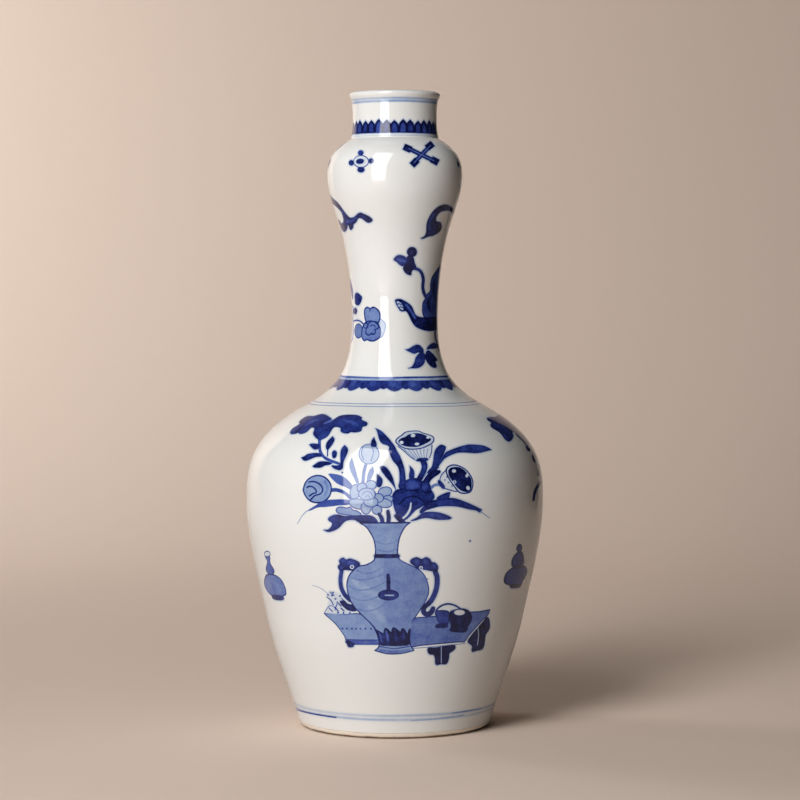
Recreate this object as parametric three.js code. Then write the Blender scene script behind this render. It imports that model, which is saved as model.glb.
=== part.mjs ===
// Garlic-mouth vase: five wheel-thrown porcelain sections, joined end to end by rings of slip.
// Millimetres, +Z up. The foot ring stands on Z = 0 and the vase turns about Z.
import * as THREE from "three";

// Foot ring and base
const FOOT_RADIUS = 54; // outer edge of the ring that touches the table
const FOOT_FLAT_WIDTH = 5; // width of the ring's flat face
const FOOT_BEVEL_WIDTH = 1.3; // trimmed bevel above the outer edge
const FOOT_BEVEL_HEIGHT = 3.6;
const RECESS_DEPTH = 8; // hollow under the base, inside the foot ring
const RECESS_DRAFT = 3; // how far the foot ring's inner side leans in
const BASE_THICKNESS = 7;
const FLOOR_FILLET = 10; // round corner between the floor and the wall

// Outer wall, station by station from the foot up: rise above the station below, radius and slope (dr/dz)
const FOOT_SLOPE = 0.29;
const FLANK_RISE = 59.9;
const FLANK_RADIUS = 73.8;
const FLANK_SLOPE = 0.21;
const BELLY_RISE = 66; // widest line of the body
const BELLY_RADIUS = 85;
const SHOULDER_RISE = 54; // steepest line of the shoulder
const SHOULDER_RADIUS = 51.2;
const SHOULDER_SLOPE = -1.85;
const NECK_FOOT_RISE = 20;
const NECK_FOOT_RADIUS = 29.55;
const NECK_FOOT_SLOPE = -0.45;
const WAIST_RISE = 29; // narrowest line of the neck
const WAIST_RADIUS = 24.6;
const BULB_FOOT_RISE = 44.5;
const BULB_FOOT_RADIUS = 29.2;
const BULB_FOOT_SLOPE = 0.22;
const BULB_FLANK_RISE = 20.5;
const BULB_FLANK_RADIUS = 35.4;
const BULB_FLANK_SLOPE = 0.33;
const BULB_RISE = 16.5; // widest line of the bulb
const BULB_RADIUS = 38.5;
const BULB_TOP_RISE = 21.1; // crease where the collar stands on the bulb
const BULB_TOP_SLOPE = -1.75;
const COLLAR_FOOT_RADIUS = 25.2;
const COLLAR_FOOT_SLOPE = -0.3;
const COLLAR_WAIST_RISE = 10.4;
const COLLAR_WAIST_RADIUS = 24;
const COLLAR_FLARE_RISE = 10.5;
const COLLAR_FLARE_RADIUS = 24.5;
const COLLAR_FLARE_SLOPE = 0.13;
const LIP_RISE = 3.9; // widest line of the everted lip
const LIP_RADIUS = 25.9;
const LIP_CROWN = 1.6; // rounded top above the widest line

// Wall thickness, measured square to the wall
const BODY_WALL = 5.5;
const SHOULDER_WALL = 5;
const NECK_WALL = 4.4;
const BULB_WALL = 4;
const BORE_RADIUS = 20.2; // straight bore of the collar
const BULB_ROOF_SLOPE = -1.5; // inner slope where the bulb closes in on the bore
const LIP_THICKNESS = 4.8;
const LIP_BORE_SLOPE = 0.15;

// Luted joints: level faces with slip between them, and a ridge of slip wiped over the joint inside
const NECK_JOINT_RISE = 5; // above the shoulder's steepest line
const SLIP_THICKNESS = 0.8;
const RIDGE_LAP = 3; // how far the ridge reaches up and down the inner wall
const RIDGE_HEIGHT = 0.9;

// Fineness of the turned surfaces
const SEGMENTS = 48;
const BODY_ROW = 13; // distance between profile points along the wall
const SHOULDER_ROW = 8;
const NECK_ROW = 10;
const BULB_ROW = 6;
const COLLAR_ROW = 5;
const BORE_COARSENESS = 1.4; // the unseen inner wall takes longer steps
const CORNER_STEPS = 4; // points round the lip's crown and the floor's corner
const TRACE_STEPS = 200; // fine steps used to measure the length of a wall

// Heights of the stations
const flankZ = FOOT_BEVEL_HEIGHT + FLANK_RISE;
const bellyZ = flankZ + BELLY_RISE;
const shoulderZ = bellyZ + SHOULDER_RISE;
const neckFootZ = shoulderZ + NECK_FOOT_RISE;
const waistZ = neckFootZ + WAIST_RISE;
const bulbFootZ = waistZ + BULB_FOOT_RISE;
const bulbFlankZ = bulbFootZ + BULB_FLANK_RISE;
const bulbZ = bulbFlankZ + BULB_RISE;
const creaseZ = bulbZ + BULB_TOP_RISE;
const collarWaistZ = creaseZ + COLLAR_WAIST_RISE;
const collarFlareZ = collarWaistZ + COLLAR_FLARE_RISE;
const lipZ = collarFlareZ + LIP_RISE;
const floorZ = RECESS_DEPTH + BASE_THICKNESS;

const knot = (z, radius, slope) => ({ z, radius, slope });

// The inner wall lies one wall thickness inside the outer wall, square to it.
const innerKnot = (outer, wall) => knot(outer.z, outer.radius - wall * Math.hypot(1, outer.slope), outer.slope);

const foot = knot(FOOT_BEVEL_HEIGHT, FOOT_RADIUS + FOOT_BEVEL_WIDTH, FOOT_SLOPE);
const flank = knot(flankZ, FLANK_RADIUS, FLANK_SLOPE);
const belly = knot(bellyZ, BELLY_RADIUS, 0);
const steepest = knot(shoulderZ, SHOULDER_RADIUS, SHOULDER_SLOPE);
const neckFoot = knot(neckFootZ, NECK_FOOT_RADIUS, NECK_FOOT_SLOPE);
const waist = knot(waistZ, WAIST_RADIUS, 0);
const bulbFoot = knot(bulbFootZ, BULB_FOOT_RADIUS, BULB_FOOT_SLOPE);
const bulbFlank = knot(bulbFlankZ, BULB_FLANK_RADIUS, BULB_FLANK_SLOPE);
const bulb = knot(bulbZ, BULB_RADIUS, 0);

const outerWall = [
  foot,
  flank,
  belly,
  steepest,
  neckFoot,
  waist,
  bulbFoot,
  bulbFlank,
  bulb,
  knot(creaseZ, COLLAR_FOOT_RADIUS, BULB_TOP_SLOPE),
  knot(creaseZ, COLLAR_FOOT_RADIUS, COLLAR_FOOT_SLOPE),
  knot(collarWaistZ, COLLAR_WAIST_RADIUS, 0),
  knot(collarFlareZ, COLLAR_FLARE_RADIUS, COLLAR_FLARE_SLOPE),
  knot(lipZ, LIP_RADIUS, 0),
];

const innerWall = [
  innerKnot(foot, BODY_WALL),
  innerKnot(flank, BODY_WALL),
  innerKnot(belly, BODY_WALL),
  innerKnot(steepest, SHOULDER_WALL),
  innerKnot(neckFoot, NECK_WALL),
  innerKnot(waist, NECK_WALL),
  innerKnot(bulbFoot, NECK_WALL),
  innerKnot(bulbFlank, BULB_WALL),
  innerKnot(bulb, BULB_WALL),
  knot(creaseZ, BORE_RADIUS, BULB_ROOF_SLOPE),
  knot(creaseZ, BORE_RADIUS, 0),
  knot(collarWaistZ, BORE_RADIUS, 0),
  knot(lipZ, LIP_RADIUS - LIP_THICKNESS, LIP_BORE_SLOPE),
];

// Radius of a wall at height z: a cubic curve through each pair of knots, with the knots' slopes.
function radiusAt(wall, z) {
  let upper = wall.findIndex((k) => k.z > z);
  if (upper < 0) {
    upper = wall.length - 1;
  }
  const a = wall[upper - 1];
  const b = wall[upper];
  const span = b.z - a.z;
  const t = (z - a.z) / span;
  const blend = t * t * (3 - 2 * t);
  const leave = t * (1 - t) * (1 - t);
  const arrive = t * t * (t - 1);
  return a.radius * (1 - blend) + b.radius * blend + span * (a.slope * leave + b.slope * arrive);
}

const wallPoint = (wall, z) => new THREE.Vector2(radiusAt(wall, z), z);

// Heights from low to high at even steps along the wall, both ends included.
function evenHeights(wall, low, high, row) {
  const trace = [];
  for (let i = 0; i <= TRACE_STEPS; i += 1) {
    trace.push(wallPoint(wall, low + ((high - low) * i) / TRACE_STEPS));
  }
  const path = new THREE.SplineCurve(trace);
  path.arcLengthDivisions = TRACE_STEPS;
  const steps = Math.max(1, Math.round(path.getLength() / row));
  const heights = path.getSpacedPoints(steps).map((p) => p.y);
  heights[0] = low;
  heights[steps] = high;
  return heights;
}

// A level joint: the two faces that the slip holds apart, and how far the ridge laps over them inside.
const joint = (z) => ({
  z,
  lowerFace: z - SLIP_THICKNESS / 2,
  upperFace: z + SLIP_THICKNESS / 2,
  lapBottom: z - RIDGE_LAP,
  lapTop: z + RIDGE_LAP,
});

const bellyJoint = joint(bellyZ);
const neckJoint = joint(shoulderZ + NECK_JOINT_RISE);
const bulbJoint = joint(bulbFootZ);
const collarJoint = joint(creaseZ);

const outerPoints = (low, high, row) => evenHeights(outerWall, low, high, row).map((z) => wallPoint(outerWall, z));

// Inner wall from high to low, with a point at the end of each ridge of slip that lies on it.
function innerPoints(high, low, row, laps) {
  const top = laps.top ?? high;
  const bottom = laps.bottom ?? low;
  const heights = evenHeights(innerWall, bottom, top, row * BORE_COARSENESS);
  if (top < high) {
    heights.push(high);
  }
  if (bottom > low) {
    heights.unshift(low);
  }
  return heights.reverse().map((z) => wallPoint(innerWall, z));
}

// Wall between two joints, as a closed outline.
function wallOutline(below, above, row) {
  const outside = outerPoints(below.upperFace, above.lowerFace, row);
  const laps = { bottom: below.lapTop, top: above.lapBottom };
  const inside = innerPoints(above.lowerFace, below.upperFace, row, laps);
  return [...outside, ...inside, outside[0]];
}

// Cup with a recessed base: from the base's underside, round the foot and the wall, to the floor inside.
function lowerBodyOutline() {
  const ringInside = FOOT_RADIUS - FOOT_FLAT_WIDTH;
  const cornerZ = floorZ + FLOOR_FILLET;
  const cornerRadius = radiusAt(innerWall, cornerZ);
  const underside = [
    new THREE.Vector2(0, RECESS_DEPTH),
    new THREE.Vector2(ringInside - RECESS_DRAFT, RECESS_DEPTH),
    new THREE.Vector2(ringInside, 0),
    new THREE.Vector2(FOOT_RADIUS, 0),
  ];
  const outside = outerPoints(FOOT_BEVEL_HEIGHT, bellyJoint.lowerFace, BODY_ROW);
  const inside = innerPoints(bellyJoint.lowerFace, cornerZ, BODY_ROW, { top: bellyJoint.lapBottom });
  const floor = [];
  for (let i = 1; i <= CORNER_STEPS; i += 1) {
    const angle = (Math.PI / 2) * (i / CORNER_STEPS);
    const radius = cornerRadius - FLOOR_FILLET * (1 - Math.cos(angle));
    floor.push(new THREE.Vector2(radius, cornerZ - FLOOR_FILLET * Math.sin(angle)));
  }
  floor.push(new THREE.Vector2(0, floorZ));
  return [...underside, ...outside, ...inside, ...floor];
}

// Collar with a rounded lip over its top.
function collarOutline() {
  const outside = outerPoints(collarJoint.upperFace, lipZ, COLLAR_ROW);
  const crown = [];
  for (let i = 1; i < CORNER_STEPS * 2; i += 1) {
    const angle = (Math.PI * i) / (CORNER_STEPS * 2);
    const radius = LIP_RADIUS - (LIP_THICKNESS / 2) * (1 - Math.cos(angle));
    crown.push(new THREE.Vector2(radius, lipZ + LIP_CROWN * Math.sin(angle)));
  }
  const inside = innerPoints(lipZ, collarJoint.upperFace, COLLAR_ROW, { bottom: collarJoint.lapTop });
  return [...outside, ...crown, ...inside, outside[0]];
}

// Slip between two level faces, squeezed into a ridge on the inside.
function slipOutline(at) {
  const crest = new THREE.Vector2(radiusAt(innerWall, at.z) - RIDGE_HEIGHT, at.z);
  const start = wallPoint(outerWall, at.lowerFace);
  return [
    start,
    wallPoint(outerWall, at.upperFace),
    wallPoint(innerWall, at.upperFace),
    wallPoint(innerWall, at.lapTop),
    crest,
    wallPoint(innerWall, at.lapBottom),
    wallPoint(innerWall, at.lowerFace),
    start,
  ];
}

const porcelain = () => new THREE.MeshStandardMaterial({ color: 0xe6e4dc, roughness: 0.12, metalness: 0 });
const driedSlip = () => new THREE.MeshStandardMaterial({ color: 0xded6c6, roughness: 0.7, metalness: 0 });

// Turns an outline about the vase's axis and stands it upright.
function turned(name, outline, material) {
  const geometry = new THREE.LatheGeometry(outline, SEGMENTS);
  geometry.rotateX(Math.PI / 2);
  const mesh = new THREE.Mesh(geometry, material);
  mesh.name = name;
  return mesh;
}

const vase = new THREE.Group();
vase.add(
  turned("lower_body", lowerBodyOutline(), porcelain()),
  turned("belly_slip_seam", slipOutline(bellyJoint), driedSlip()),
  turned("shoulder", wallOutline(bellyJoint, neckJoint, SHOULDER_ROW), porcelain()),
  turned("neck_slip_seam", slipOutline(neckJoint), driedSlip()),
  turned("neck", wallOutline(neckJoint, bulbJoint, NECK_ROW), porcelain()),
  turned("bulb_slip_seam", slipOutline(bulbJoint), driedSlip()),
  turned("garlic_bulb", wallOutline(bulbJoint, collarJoint, BULB_ROW), porcelain()),
  turned("collar_slip_seam", slipOutline(collarJoint), driedSlip()),
  turned("mouth_collar", collarOutline(), porcelain()),
);

export default vase;
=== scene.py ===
import math

import bpy
import numpy as np
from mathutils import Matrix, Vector
from mathutils.geometry import delaunay_2d_cdt


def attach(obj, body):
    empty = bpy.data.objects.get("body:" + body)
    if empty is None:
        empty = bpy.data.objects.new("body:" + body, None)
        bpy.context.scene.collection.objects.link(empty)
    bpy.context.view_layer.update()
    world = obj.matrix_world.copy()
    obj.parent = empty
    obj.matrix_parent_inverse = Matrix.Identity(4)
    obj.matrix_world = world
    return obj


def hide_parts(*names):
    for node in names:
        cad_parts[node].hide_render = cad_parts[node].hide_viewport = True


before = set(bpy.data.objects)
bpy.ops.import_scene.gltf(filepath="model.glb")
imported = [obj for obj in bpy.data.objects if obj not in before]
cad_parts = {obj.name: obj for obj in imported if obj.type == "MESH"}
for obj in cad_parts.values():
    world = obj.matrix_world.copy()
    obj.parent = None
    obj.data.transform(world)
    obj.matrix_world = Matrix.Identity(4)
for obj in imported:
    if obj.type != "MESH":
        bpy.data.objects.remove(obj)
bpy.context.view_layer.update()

# The form, in mm, as in the CAD source: height, radius and slope of the radius at each station
FOOT_TOP = 3.6
CREASE = 335.1
COLLAR_WAIST = 345.5
LIP = 359.9
BELLY_JOINT = 129.5
NECK_JOINT = 188.5
BULB_JOINT = 277.0
OUTER_WALL = np.array([
    (FOOT_TOP, 55.3, 0.29),
    (63.5, 73.8, 0.21),
    (BELLY_JOINT, 85.0, 0.0),
    (183.5, 51.2, -1.85),
    (203.5, 29.55, -0.45),
    (232.5, 24.6, 0.0),
    (BULB_JOINT, 29.2, 0.22),
    (297.5, 35.4, 0.33),
    (314.0, 38.5, 0.0),
    (CREASE, 25.2, -1.75),
    (CREASE, 25.2, -0.3),
    (COLLAR_WAIST, 24.0, 0.0),
    (356.0, 24.5, 0.13),
    (LIP, 25.9, 0.0),
])
WALL_THICKNESS = (5.5, 5.5, 5.5, 5.0, 4.4, 4.4, 4.4, 4.0, 4.0)
BORE_WALL = np.array([
    (CREASE, 20.2, -1.5),
    (CREASE, 20.2, 0.0),
    (COLLAR_WAIST, 20.2, 0.0),
    (LIP, 21.1, 0.15),
])
SLIP_HALF = 0.4
GLAZE_OVER_JOINT = 0.8
RIDGE_LAP = 3.0
RIDGE_HEIGHT = 0.9
LIP_CROWN = 1.6
LIP_THICKNESS = 4.8
FLOOR_HEIGHT = 15.0
FLOOR_FILLET = 10.0

# Radius and height of the points on the underside: the base, its rounded edge, and the foot's bare ring
BASE = [(0.0, 8.0), (22.0, 8.0), (44.0, 8.0)]
BASE_EDGE = [(45.3, 7.8), (46.2, 7.3)]
FOOT_RING = [(48.9, 0.35), (49.4, 0.0), (51.2, 0.0), (52.4, 0.35), (53.5, 1.0), (54.4, 1.9)]

# The photo's camera, which the scene's camera repeats: lengths in mm, the photo's size in pixels, a pixel's
# size at the vase, and the distances at which a ray from the camera looks for the wall
CAMERA_PLACE = np.array([3.0, -1508.0, 252.6])
CAMERA_PITCH = math.radians(2.52)
FOCAL_PX = 2636.0
PHOTO_PX = 800.0
SENSOR_MM = 36.0
PX_MM = 0.556
RAY_DEPTHS = np.linspace(1400.0, 1530.0, 521)

# Fineness of the painted sheet, of the turned rows and of the wall's length, a radius that is less than any
# on the wall, and the number of points that are painted at a time
COLUMNS = 144
TURNED_COLUMNS = 96
ROW_STEP = 0.046
INNER_STEP = 4.0
BODY_STEP = 6.0
FLOOR_RING = 24.0
RIDGE_POINTS = 13
CORNER_DEGREES = 15
SAMPLE_PX = 1.3
TRACE_POINTS = 4001
NARROWEST = 20.0
BATCH = 3000
MM = 0.001

# Tolerances: a small step in any unit, the sheet's weld, and the room left at its borders
TINY = 1e-6
WELD = 1e-5
BORDER = 1e-4

# Paint tones: the thickness of the cobalt, from 0 for bare porcelain to 1 for the deepest blue. A pale petal
# has a tone, the tone of its edge and the edge's width in photo pixels.
WASH = 0.3
MID = 0.55
STRONG = 0.74
DARK = 0.88
DEEP = 1.0
PETAL_TONE = 0.26
PETAL_EDGE = 0.66
PETAL_LINE = 0.9

# How far a mark's edge fades, in mm, and the share of its width over which a thin line's edge fades
EDGE = 0.42
LINE_EDGE = 0.6

# Cobalt pools at the edge of a dark mark: how much darker it is there, how much lighter inside, how far in
POOL_EDGE = 0.05
POOL_FADE = 0.11
POOL_REACH = 1.1

# Cobalt bleeds into the glaze round a dark mark: the tone at its edge, how far out it fades, and the width
# of mark from which it is full
BLEED_TONE = 0.17
BLEED_REACH = 1.25
BLEED_WIDTH = 1.6

# Drawn rings: height and width in mm, tone, how much the tone swings, phase, and wobble of the height in mm
RINGS = [
    (356.0, 2.4, 0.07, 0.02, 0.5, 0.05),
    (356.8, 1.1, 0.17, 0.06, 0.9, 0.06),
    (355.2, 1.2, 0.21, 0.08, 1.2, 0.06),
    (335.9, 0.6, 0.12, 0.04, 0.3, 0.05),
    (200.1, 1.1, 0.7, 0.14, -0.2, 0.12),
    (198.9, 1.6, 0.2, 0.05, 2.0, 0.05),
    (197.3, 2.2, 0.78, 0.07, 0.5, 0.05),
    (186.0, 0.75, 0.27, 0.08, 1.4, 0.1),
    (184.6, 0.75, 0.27, 0.08, 2.1, 0.1),
    (12.4, 4.6, 0.05, 0.01, 0.0, 0.05),
    (13.75, 1.4, 0.13, 0.05, 0.8, 0.12),
    (11.35, 1.4, 0.15, 0.05, 2.6, 0.12),
]

# Waves of the wobble and of the tone's swing round the vase, and how strong the short waves are
WOBBLE_WAVES = 3
SHORT_WOBBLE_WAVES = 7
SHORT_WOBBLE = 0.5
SHORT_SWING_WAVES = 5
SHORT_SWING = 0.4

# Pointed petals round the collar: the outline from foot to foot as shares of the height and the half width,
# the shares that the paler inside has of both, and how much and how fast the brush varies lean, height and
# tone from petal to petal
COLLAR_PETALS = 33
PETAL_FOOT = 337.4
PETAL_HEIGHT = 7.4
PETAL_UP = np.array([0.0, 0.4, 0.68, 0.84, 1.0, 0.84, 0.68, 0.4, 0.0])
PETAL_OUT = np.array([-1.08, -1.1, -0.98, -0.56, 0.0, 0.56, 0.98, 1.1, 1.08])
INSIDE_WIDTH = 0.56
INSIDE_HEIGHT = 0.74
INSIDE_RISE = 0.4
INSIDE_TONE = 0.74
LEAN_SWING = 0.12
LEAN_PACE = 2.7
HEIGHT_SWING = 0.05
HEIGHT_PACE = 1.9
TONE_SWING = 0.07
TONE_PACE = 2.1

# Tongues that hang from the band at the neck's foot: half width as a share of half the pitch, depth in mm,
# how far the edge rises to the sides, tone and softness
LAPPETS = 18
LAPPET_TOP = 198.4
LAPPET_POINTS = 11
LAPPET_ROUNDNESS = 1.7
LAPPET_WAVES = 7
SMALL_LAPPET = (0.36, 4.5, 0.2, DARK, EDGE)
LARGE_LAPPET = (0.74, 5.7, 0.36, 0.82, EDGE)
LAPPET_WASH = (0.3, 3.42, 0.3, 0.63, 1.5)
WASH_SHIFT = 0.2

# Places on the baked picture, from 0 to 1: strips for the inner wall, joints and foot, with tiles above them
INNER_BAND = (0.012, 0.1)
END_BAND = (0.105, 0.112)
FOOT_BAND = (0.115, 0.145)
WHOLE_BAND = (0.02, 0.98)
SHEET_BOTTOM = 0.152
TILE_GAP = 0.006
UV_MARGIN = 0.01

# Colours as linear red, green and blue
PORCELAIN = (0.665, 0.668, 0.655)
COBALT_RAMP = [
    (0.0, PORCELAIN),
    (0.16, (0.37, 0.44, 0.55)),
    (0.3, (0.18, 0.26, 0.45)),
    (0.55, (0.045, 0.08, 0.31)),
    (0.75, (0.016, 0.031, 0.18)),
    (0.9, (0.006, 0.01, 0.072)),
    (1.0, (0.003, 0.005, 0.036)),
]
# The foot ring's colour by height: dark brown at the bottom is painted shade where the foot meets the floor,
# then bare biscuit, then grey where the glaze ends
FOOT_RAMP_WITH_PAINTED_SHADE = [
    (0.0, (0.16, 0.11, 0.075)),
    (0.28, (0.3, 0.23, 0.17)),
    (0.42, (0.78, 0.72, 0.62)),
    (0.84, (0.78, 0.72, 0.62)),
    (0.95, (0.5, 0.45, 0.38)),
    (1.0, (0.55, 0.51, 0.45)),
]
SLIP_RAMP = [(0.0, (0.66, 0.62, 0.54)), (1.0, (0.77, 0.74, 0.67))]
STAGE_COLOUR = (0.71, 0.58, 0.49, 1)
STUDIO_COLOUR = (1.0, 0.97, 0.94, 1)
STUDIO_STRENGTH = 0.02

# Finish: the glaze's refraction, the roughness of foot and stage, and the range of noise that is used
GLAZE_IOR = 1.47
FOOT_ROUGHNESS = 0.75
STAGE_ROUGHNESS = 0.9
STAGE_SPECULAR = 0.1
NOISE_RANGE = (0.3, 0.7)

# Noises, as cells in a metre and detail, and what each is spread to where it isn't a bump
POOLING = (190, 3)
POOLING_SHARES = (0.86, 1.1)
BRUSHWORK = (700, 2)
BRUSHWORK_SHARES = (0.93, 1.07)
GLAZE_GLOSS = (60, 2)
GLAZE_ROUGHNESS = (0.05, 0.09)
GLAZE_WAVES = (45, 2)
FOOT_EDGE_WOBBLE = (160, 3)
FOOT_EDGE_WOBBLE_RISE = (-0.07, 0.07)
FOOT_GRAIN = (1500, 2)
SLIP_WIPES = (220, 3)
SLIP_ROUGHNESS = (0.24, 0.36)
SLIP_GRAIN = (420, 2)

# Bumps, as strength and height in m
GLAZE_BUMP = (0.05, 0.001)
FOOT_BUMP = (0.15, 0.0002)
SLIP_BUMP = (0.2, 0.0004)

# The stage, in m: left and right of the floor and the backdrop, the floor's front, and the bend between them
FLOOR_SIDES = (-6.0, 6.0)
BACKDROP_SIDES = (-3.0, 0.75)
BACKDROP_TOP = 5.0
FLOOR_FRONT = -3.0
BEND_START = 0.75
BEND_RADIUS = 0.9
BEND_DEGREES = 6

# Panels of light: azimuth from the camera to the right and elevation in degrees, distance, width and height
# in m, power in W, spread in degrees and the place that the panel faces
VASE_MIDDLE = (0.0, 0.0, 0.18)
KEY = (-29, 24, 1.7, 0.6, 1.7, 36.5, 180, VASE_MIDDLE)
WINDOW = (-27, 30, 1.6, 0.74, 2.2, 38, 180, VASE_MIDDLE)
BACKDROP = (-72, 24, 1.5, 0.8, 0.8, 14, 115, (-0.45, 1.5, 0.5))


def wall_spans(wall, heights):
    """The knots below and above each height, and how far up between them it lies."""
    z = np.asarray(heights, float)
    upper = np.clip(np.searchsorted(wall[:, 0], z, side="right"), 1, len(wall) - 1)
    low = wall[upper - 1]
    high = wall[upper]
    span = high[..., 0] - low[..., 0]
    return low, high, span, (z - low[..., 0]) / span


def wall_radius(wall, heights):
    """Radius of a wall: a cubic curve through each pair of knots, with the knots' slopes."""
    low, high, span, t = wall_spans(wall, heights)
    blend = t * t * (3 - 2 * t)
    bends = low[..., 2] * t * (1 - t) ** 2 + high[..., 2] * t * t * (t - 1)
    return low[..., 1] * (1 - blend) + high[..., 1] * blend + span * bends


def wall_slope(wall, heights):
    """How fast the radius of a wall grows with height."""
    low, high, span, t = wall_spans(wall, heights)
    rise = (high[..., 1] - low[..., 1]) * 6 * t * (1 - t) / span
    return rise + low[..., 2] * (1 - t) * (1 - 3 * t) + high[..., 2] * t * (3 * t - 2)


def inner_knots():
    """The inner wall, one wall thickness inside the outer one."""
    shell = OUTER_WALL[:len(WALL_THICKNESS)].copy()
    shell[:, 1] -= np.array(WALL_THICKNESS) * np.hypot(1, shell[:, 2])
    return np.concatenate([shell, BORE_WALL])


INNER_WALL = inner_knots()

# The painted sheet is laid out flat by angle and "climb", the wall's length divided by its radius,
# so that a small brush mark keeps its shape.
TRACE_Z = np.linspace(FOOT_TOP, LIP, TRACE_POINTS)
TRACE_R = wall_radius(OUTER_WALL, TRACE_Z)
TRACE_STEP = np.hypot(np.diff(TRACE_Z), np.diff(TRACE_R))
TRACE_LENGTH = np.concatenate([[0.0], np.cumsum(TRACE_STEP)])
TRACE_CLIMB = np.concatenate([[0.0], np.cumsum(TRACE_STEP * 2 / (TRACE_R[1:] + TRACE_R[:-1]))])


def climb_of(heights):
    return np.interp(heights, TRACE_Z, TRACE_CLIMB)


def height_of(climbs):
    return np.interp(climbs, TRACE_CLIMB, TRACE_Z)


def photo_to_wall(points):
    """Angle and climb of the wall point that each photo point shows."""
    offset = (np.asarray(points, float) - PHOTO_PX / 2) / FOCAL_PX
    forward = np.array([0.0, math.cos(CAMERA_PITCH), -math.sin(CAMERA_PITCH)])
    upward = np.array([0.0, math.sin(CAMERA_PITCH), math.cos(CAMERA_PITCH)])
    rays = forward + offset[:, :1] * np.array([1.0, 0.0, 0.0]) - offset[:, 1:] * upward
    spots = CAMERA_PLACE + rays[:, None, :] * RAY_DEPTHS[None, :, None]
    wall = wall_radius(OUTER_WALL, np.clip(spots[..., 2], FOOT_TOP, LIP))
    gap = np.hypot(spots[..., 0], spots[..., 1]) - wall
    inside = gap < 0
    first = np.where(inside.any(axis=1), inside.argmax(axis=1), gap.argmin(axis=1))
    rows = np.arange(len(rays))
    before = np.maximum(first - 1, 0)
    fall = gap[rows, before] - gap[rows, first]
    share = np.where(inside.any(axis=1), gap[rows, before] / np.where(fall > 0, fall, 1.0), 1.0)
    hit = spots[rows, before] + (spots[rows, first] - spots[rows, before]) * share[:, None]
    return np.stack([np.arctan2(hit[:, 0], -hit[:, 1]), climb_of(hit[:, 2])], axis=1)


def unit(vectors):
    return vectors / np.maximum(np.linalg.norm(vectors, axis=-1, keepdims=True), TINY)


def curve(points, closed):
    """Places along a smooth curve through the points. A point given twice makes a corner."""
    pts = np.asarray(points, float)
    count = len(pts)
    pieces = []
    for i in range(count if closed else count - 1):
        near = [i - 1, i, i + 1, i + 2]
        index = [k % count for k in near] if closed else np.clip(near, 0, count - 1)
        p0, p1, p2, p3 = pts[index]
        gap = np.linalg.norm((p2 - p1)[:2])
        if gap < TINY:
            continue
        steps = max(2, round(gap / SAMPLE_PX))
        t = (np.arange(steps) / steps)[:, None]
        leave = unit((p2 - p0)[:2]) * gap
        arrive = unit((p3 - p1)[:2]) * gap
        blend = t * t * (3 - 2 * t)
        place = p1[:2] + (p2 - p1)[:2] * blend + leave * t * (1 - t) ** 2 + arrive * t * t * (t - 1)
        pieces.append(np.concatenate([place, p1[2:] + (p2 - p1)[2:] * t], axis=1))
    if not closed:
        pieces.append(pts[-1:])
    return np.concatenate(pieces)


def mark(loop, tone, line=0.0, soft=EDGE):
    """A brush mark in photo pixels: a filled loop, or, where line is set, a line of that width along it."""
    width = line * PX_MM
    if width:
        soft = min(soft, LINE_EDGE * width)
    return {"loop": photo_to_wall(loop), "tone": tone, "line": width, "soft": soft}


def fill(tone, points, soft=EDGE):
    return mark(curve(points, True), tone, soft=soft)


def outline(tone, width, points):
    return mark(curve(points, True), tone, line=width)


def ellipse(x, y, wide, high, tilt=0.0):
    count = max(10, round(math.pi * (wide + high) / SAMPLE_PX))
    angle = np.arange(count) * 2 * math.pi / count
    across = wide * np.cos(angle)
    down = high * np.sin(angle)
    cos = math.cos(math.radians(tilt))
    sin = math.sin(math.radians(tilt))
    return np.stack([x + across * cos - down * sin, y + across * sin + down * cos], axis=1)


def spot(tone, x, y, wide, high, tilt=0.0, soft=EDGE):
    return mark(ellipse(x, y, wide, high, tilt), tone, soft=soft)


def hoop(tone, width, x, y, wide, high, tilt=0.0):
    return mark(ellipse(x, y, wide, high, tilt), tone, line=width)


def stroke(tone, points, soft=EDGE):
    """A brush stroke along points given as x, y and width, with round ends."""
    path = curve(points, False)
    along = unit(np.gradient(path[:, :2], axis=0))
    side = np.stack([-along[:, 1], along[:, 0]], axis=1) * path[:, 2:] / 2
    turn = np.radians([45.0, 90.0, 135.0])[:, None]
    end_cap = path[-1, :2] + side[-1] * np.cos(turn) + along[-1] * path[-1, 2] / 2 * np.sin(turn)
    start_cap = path[0, :2] - side[0] * np.cos(turn) - along[0] * path[0, 2] / 2 * np.sin(turn)
    loop = np.concatenate([path[:, :2] + side, end_cap, (path[:, :2] - side)[::-1], start_cap])
    return mark(loop, tone, soft=min(soft, LINE_EDGE * path[:, 2].min() * PX_MM))


def block(tone, x, y, wide, high, tilt):
    """A filled rectangle. Its corners stand twice in the loop, so that they stay sharp."""
    lean = math.radians(tilt)
    across = np.array([math.cos(lean), math.sin(lean)]) * wide
    down = np.array([-math.sin(lean), math.cos(lean)]) * high
    corners = np.array([x, y]) + [across + down, across - down, -across - down, -across + down]
    return fill(tone, np.repeat(corners, 2, axis=0))


def line(tone, width, points):
    return stroke(tone, [(x, y, width) for x, y in points])


def petal(x, y, wide, high, tilt=0.0, tone=PETAL_TONE, edge=PETAL_EDGE):
    """A pale petal with a thin dark edge."""
    return [spot(tone, x, y, wide, high, tilt), hoop(edge, PETAL_LINE, x, y, wide, high, tilt)]


def shape(tone, edge_tone, width, points):
    """A washed shape with a drawn outline."""
    return [fill(tone, points), outline(edge_tone, width, points)]


def band_mark(angles, heights, tone, soft=EDGE):
    """A mark given by angles and heights on the wall."""
    loop = np.stack([angles, climb_of(heights)], axis=1)
    return {"loop": loop, "tone": tone, "line": 0.0, "soft": soft}


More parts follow.
